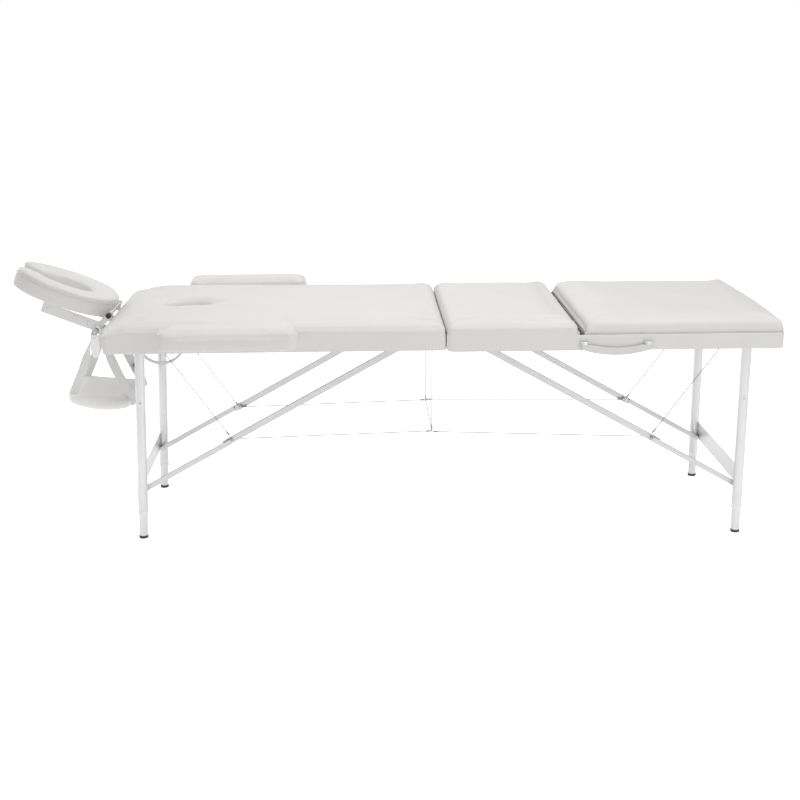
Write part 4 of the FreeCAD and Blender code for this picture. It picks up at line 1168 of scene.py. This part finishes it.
def buckle():
    """Side-release buckle on the far strap of the sling."""
    pivot = joint_place("sling_swing")
    far_y = STRAPS[1].y - STRAP_INSET
    start = Vector((pivot.x + 0.0108, far_y, pivot.z))
    end = Vector((SHELF[1].x + 0.0006, far_y, SHELF[1].z - 0.010))
    centre = start.lerp(end, 0.80)
    along = (end - start).normalized()
    bm = bmesh.new()
    bmesh.ops.create_cube(bm, size=1.0)
    bevel(bm, list(bm.edges), 0.14, 3)
    across = Vector((0, 1, 0))
    normal = along.cross(across)
    turn = Matrix((along, across, normal)).transposed().to_4x4()
    size = Matrix.Diagonal((0.030, 0.031, 0.0075, 1.0))
    bmesh.ops.transform(bm, matrix=Matrix.Translation(centre) @ turn @ size, verts=bm.verts)
    piece = from_bmesh("sling_buckle", bm, BLACK_PLASTIC)
    subdivide(piece)
    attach(piece, "arm_sling")


# ---------------------------------------------------------------- studio


def studio():
    scene = bpy.context.scene
    scene.view_settings.view_transform = "Standard"
    floor_mesh = bpy.data.meshes.new("floor")
    side = 60.0
    corners = [(-side, -side, 0), (side, -side, 0), (side, side, 0), (-side, side, 0)]
    floor_mesh.from_pydata(corners, [], [(0, 1, 2, 3)])
    n = Nodes("floor_paper")
    seen = n.add("LightPath").outputs["Is Camera Ray"]
    glow = n.add("MapRange", {"Value": seen, "To Min": 0.25, "To Max": 0.72}).outputs["Result"]
    paper = n.noise(n.place(), 3.0, 2.0)
    n.set(Base_Color=n.blend(paper, (0.89, 0.89, 0.89), (0.90, 0.90, 0.90)), Roughness=0.95)
    n.set(Emission_Color=(1.0, 1.0, 1.0, 1.0), Emission_Strength=glow, Specular_IOR_Level=0.1)
    floor = add_object("floor", floor_mesh, n.material)
    scene.world = white_world()
    area_light("key", (0.6, -0.5, 3.5), (0.2, 0.0, 0.5), 4.2, 66.0)
    area_light("fill", (2.8, -3.4, 1.9), (0.6, 0.0, 0.5), 2.8, 17.0)
    area_light("low_fill", (-2.4, 1.3, 1.35), (-1.0, 0.0, 0.4), 1.2, 16.0)
    area_light("back", (0.0, 3.0, 2.6), (0.0, 0.0, 0.6), 3.0, 12.0)


def white_world():
    """Pure white where the camera sees it, softer grey as a light source."""
    world = bpy.data.worlds.new("studio")
    world.use_nodes = True
    tree = world.node_tree
    seen = tree.nodes["Background"]
    seen.inputs["Color"].default_value = (1, 1, 1, 1)
    seen.inputs["Strength"].default_value = 1.0
    light = tree.nodes.new("ShaderNodeBackground")
    light.inputs["Color"].default_value = (1, 1, 1, 1)
    light.inputs["Strength"].default_value = 0.5
    path = tree.nodes.new("ShaderNodeLightPath")
    mix = tree.nodes.new("ShaderNodeMixShader")
    tree.links.new(path.outputs["Is Camera Ray"], mix.inputs["Fac"])
    tree.links.new(light.outputs["Background"], mix.inputs[1])
    tree.links.new(seen.outputs["Background"], mix.inputs[2])
    tree.links.new(mix.outputs["Shader"], tree.nodes["World Output"].inputs["Surface"])
    return world


def area_light(name, place, target, size, power):
    light = bpy.data.lights.new(name, "AREA")
    light.shape = "DISK"
    light.size = size
    light.energy = power
    obj = bpy.data.objects.new(name, light)
    obj.location = place
    obj.rotation_euler = (Vector(target) - Vector(place)).to_track_quat("-Z", "Y").to_euler()
    bpy.context.scene.collection.objects.link(obj)


# The photo's camera, solved from the long edges of the top and the four feet. Its x counts
# from the table's middle hinge, and its angles are in degrees.
CAMERA_PLACE = (-0.2467, -3.6767, 1.3954)
CAMERA_TURN = -2.04
CAMERA_TILT = 90 - 16.02
CAMERA_ROLL = -0.22
CAMERA_LENS = 57.6


def camera():
    data = bpy.data.cameras.new("camera")
    data.lens = CAMERA_LENS
    data.sensor_width = 36.0
    obj = bpy.data.objects.new("camera", data)
    turn = Matrix.Rotation(math.radians(CAMERA_TURN), 4, "Z")
    tilt = Matrix.Rotation(math.radians(CAMERA_TILT), 4, "X")
    roll = Matrix.Rotation(math.radians(CAMERA_ROLL), 4, "Z")
    x, y, z = CAMERA_PLACE
    place = Matrix.Translation((joint_place("table_fold").x + x, y, z))
    obj.matrix_world = place @ turn @ tilt @ roll
    bpy.context.scene.collection.objects.link(obj)
    bpy.context.scene.camera = obj


finish_cad_nodes()
head_pad()
seat_pad()
backrest_pad()
gap_shade_sheet()
headrest_cushion()
armrest("near")
armrest("far")
sling_shelf()
sling_straps()
buckle()
cam_lever()
lift_frame_screws()
strut_plugs()
leg_collars()
bracket_screws()
handle_studs()
studio()
camera()
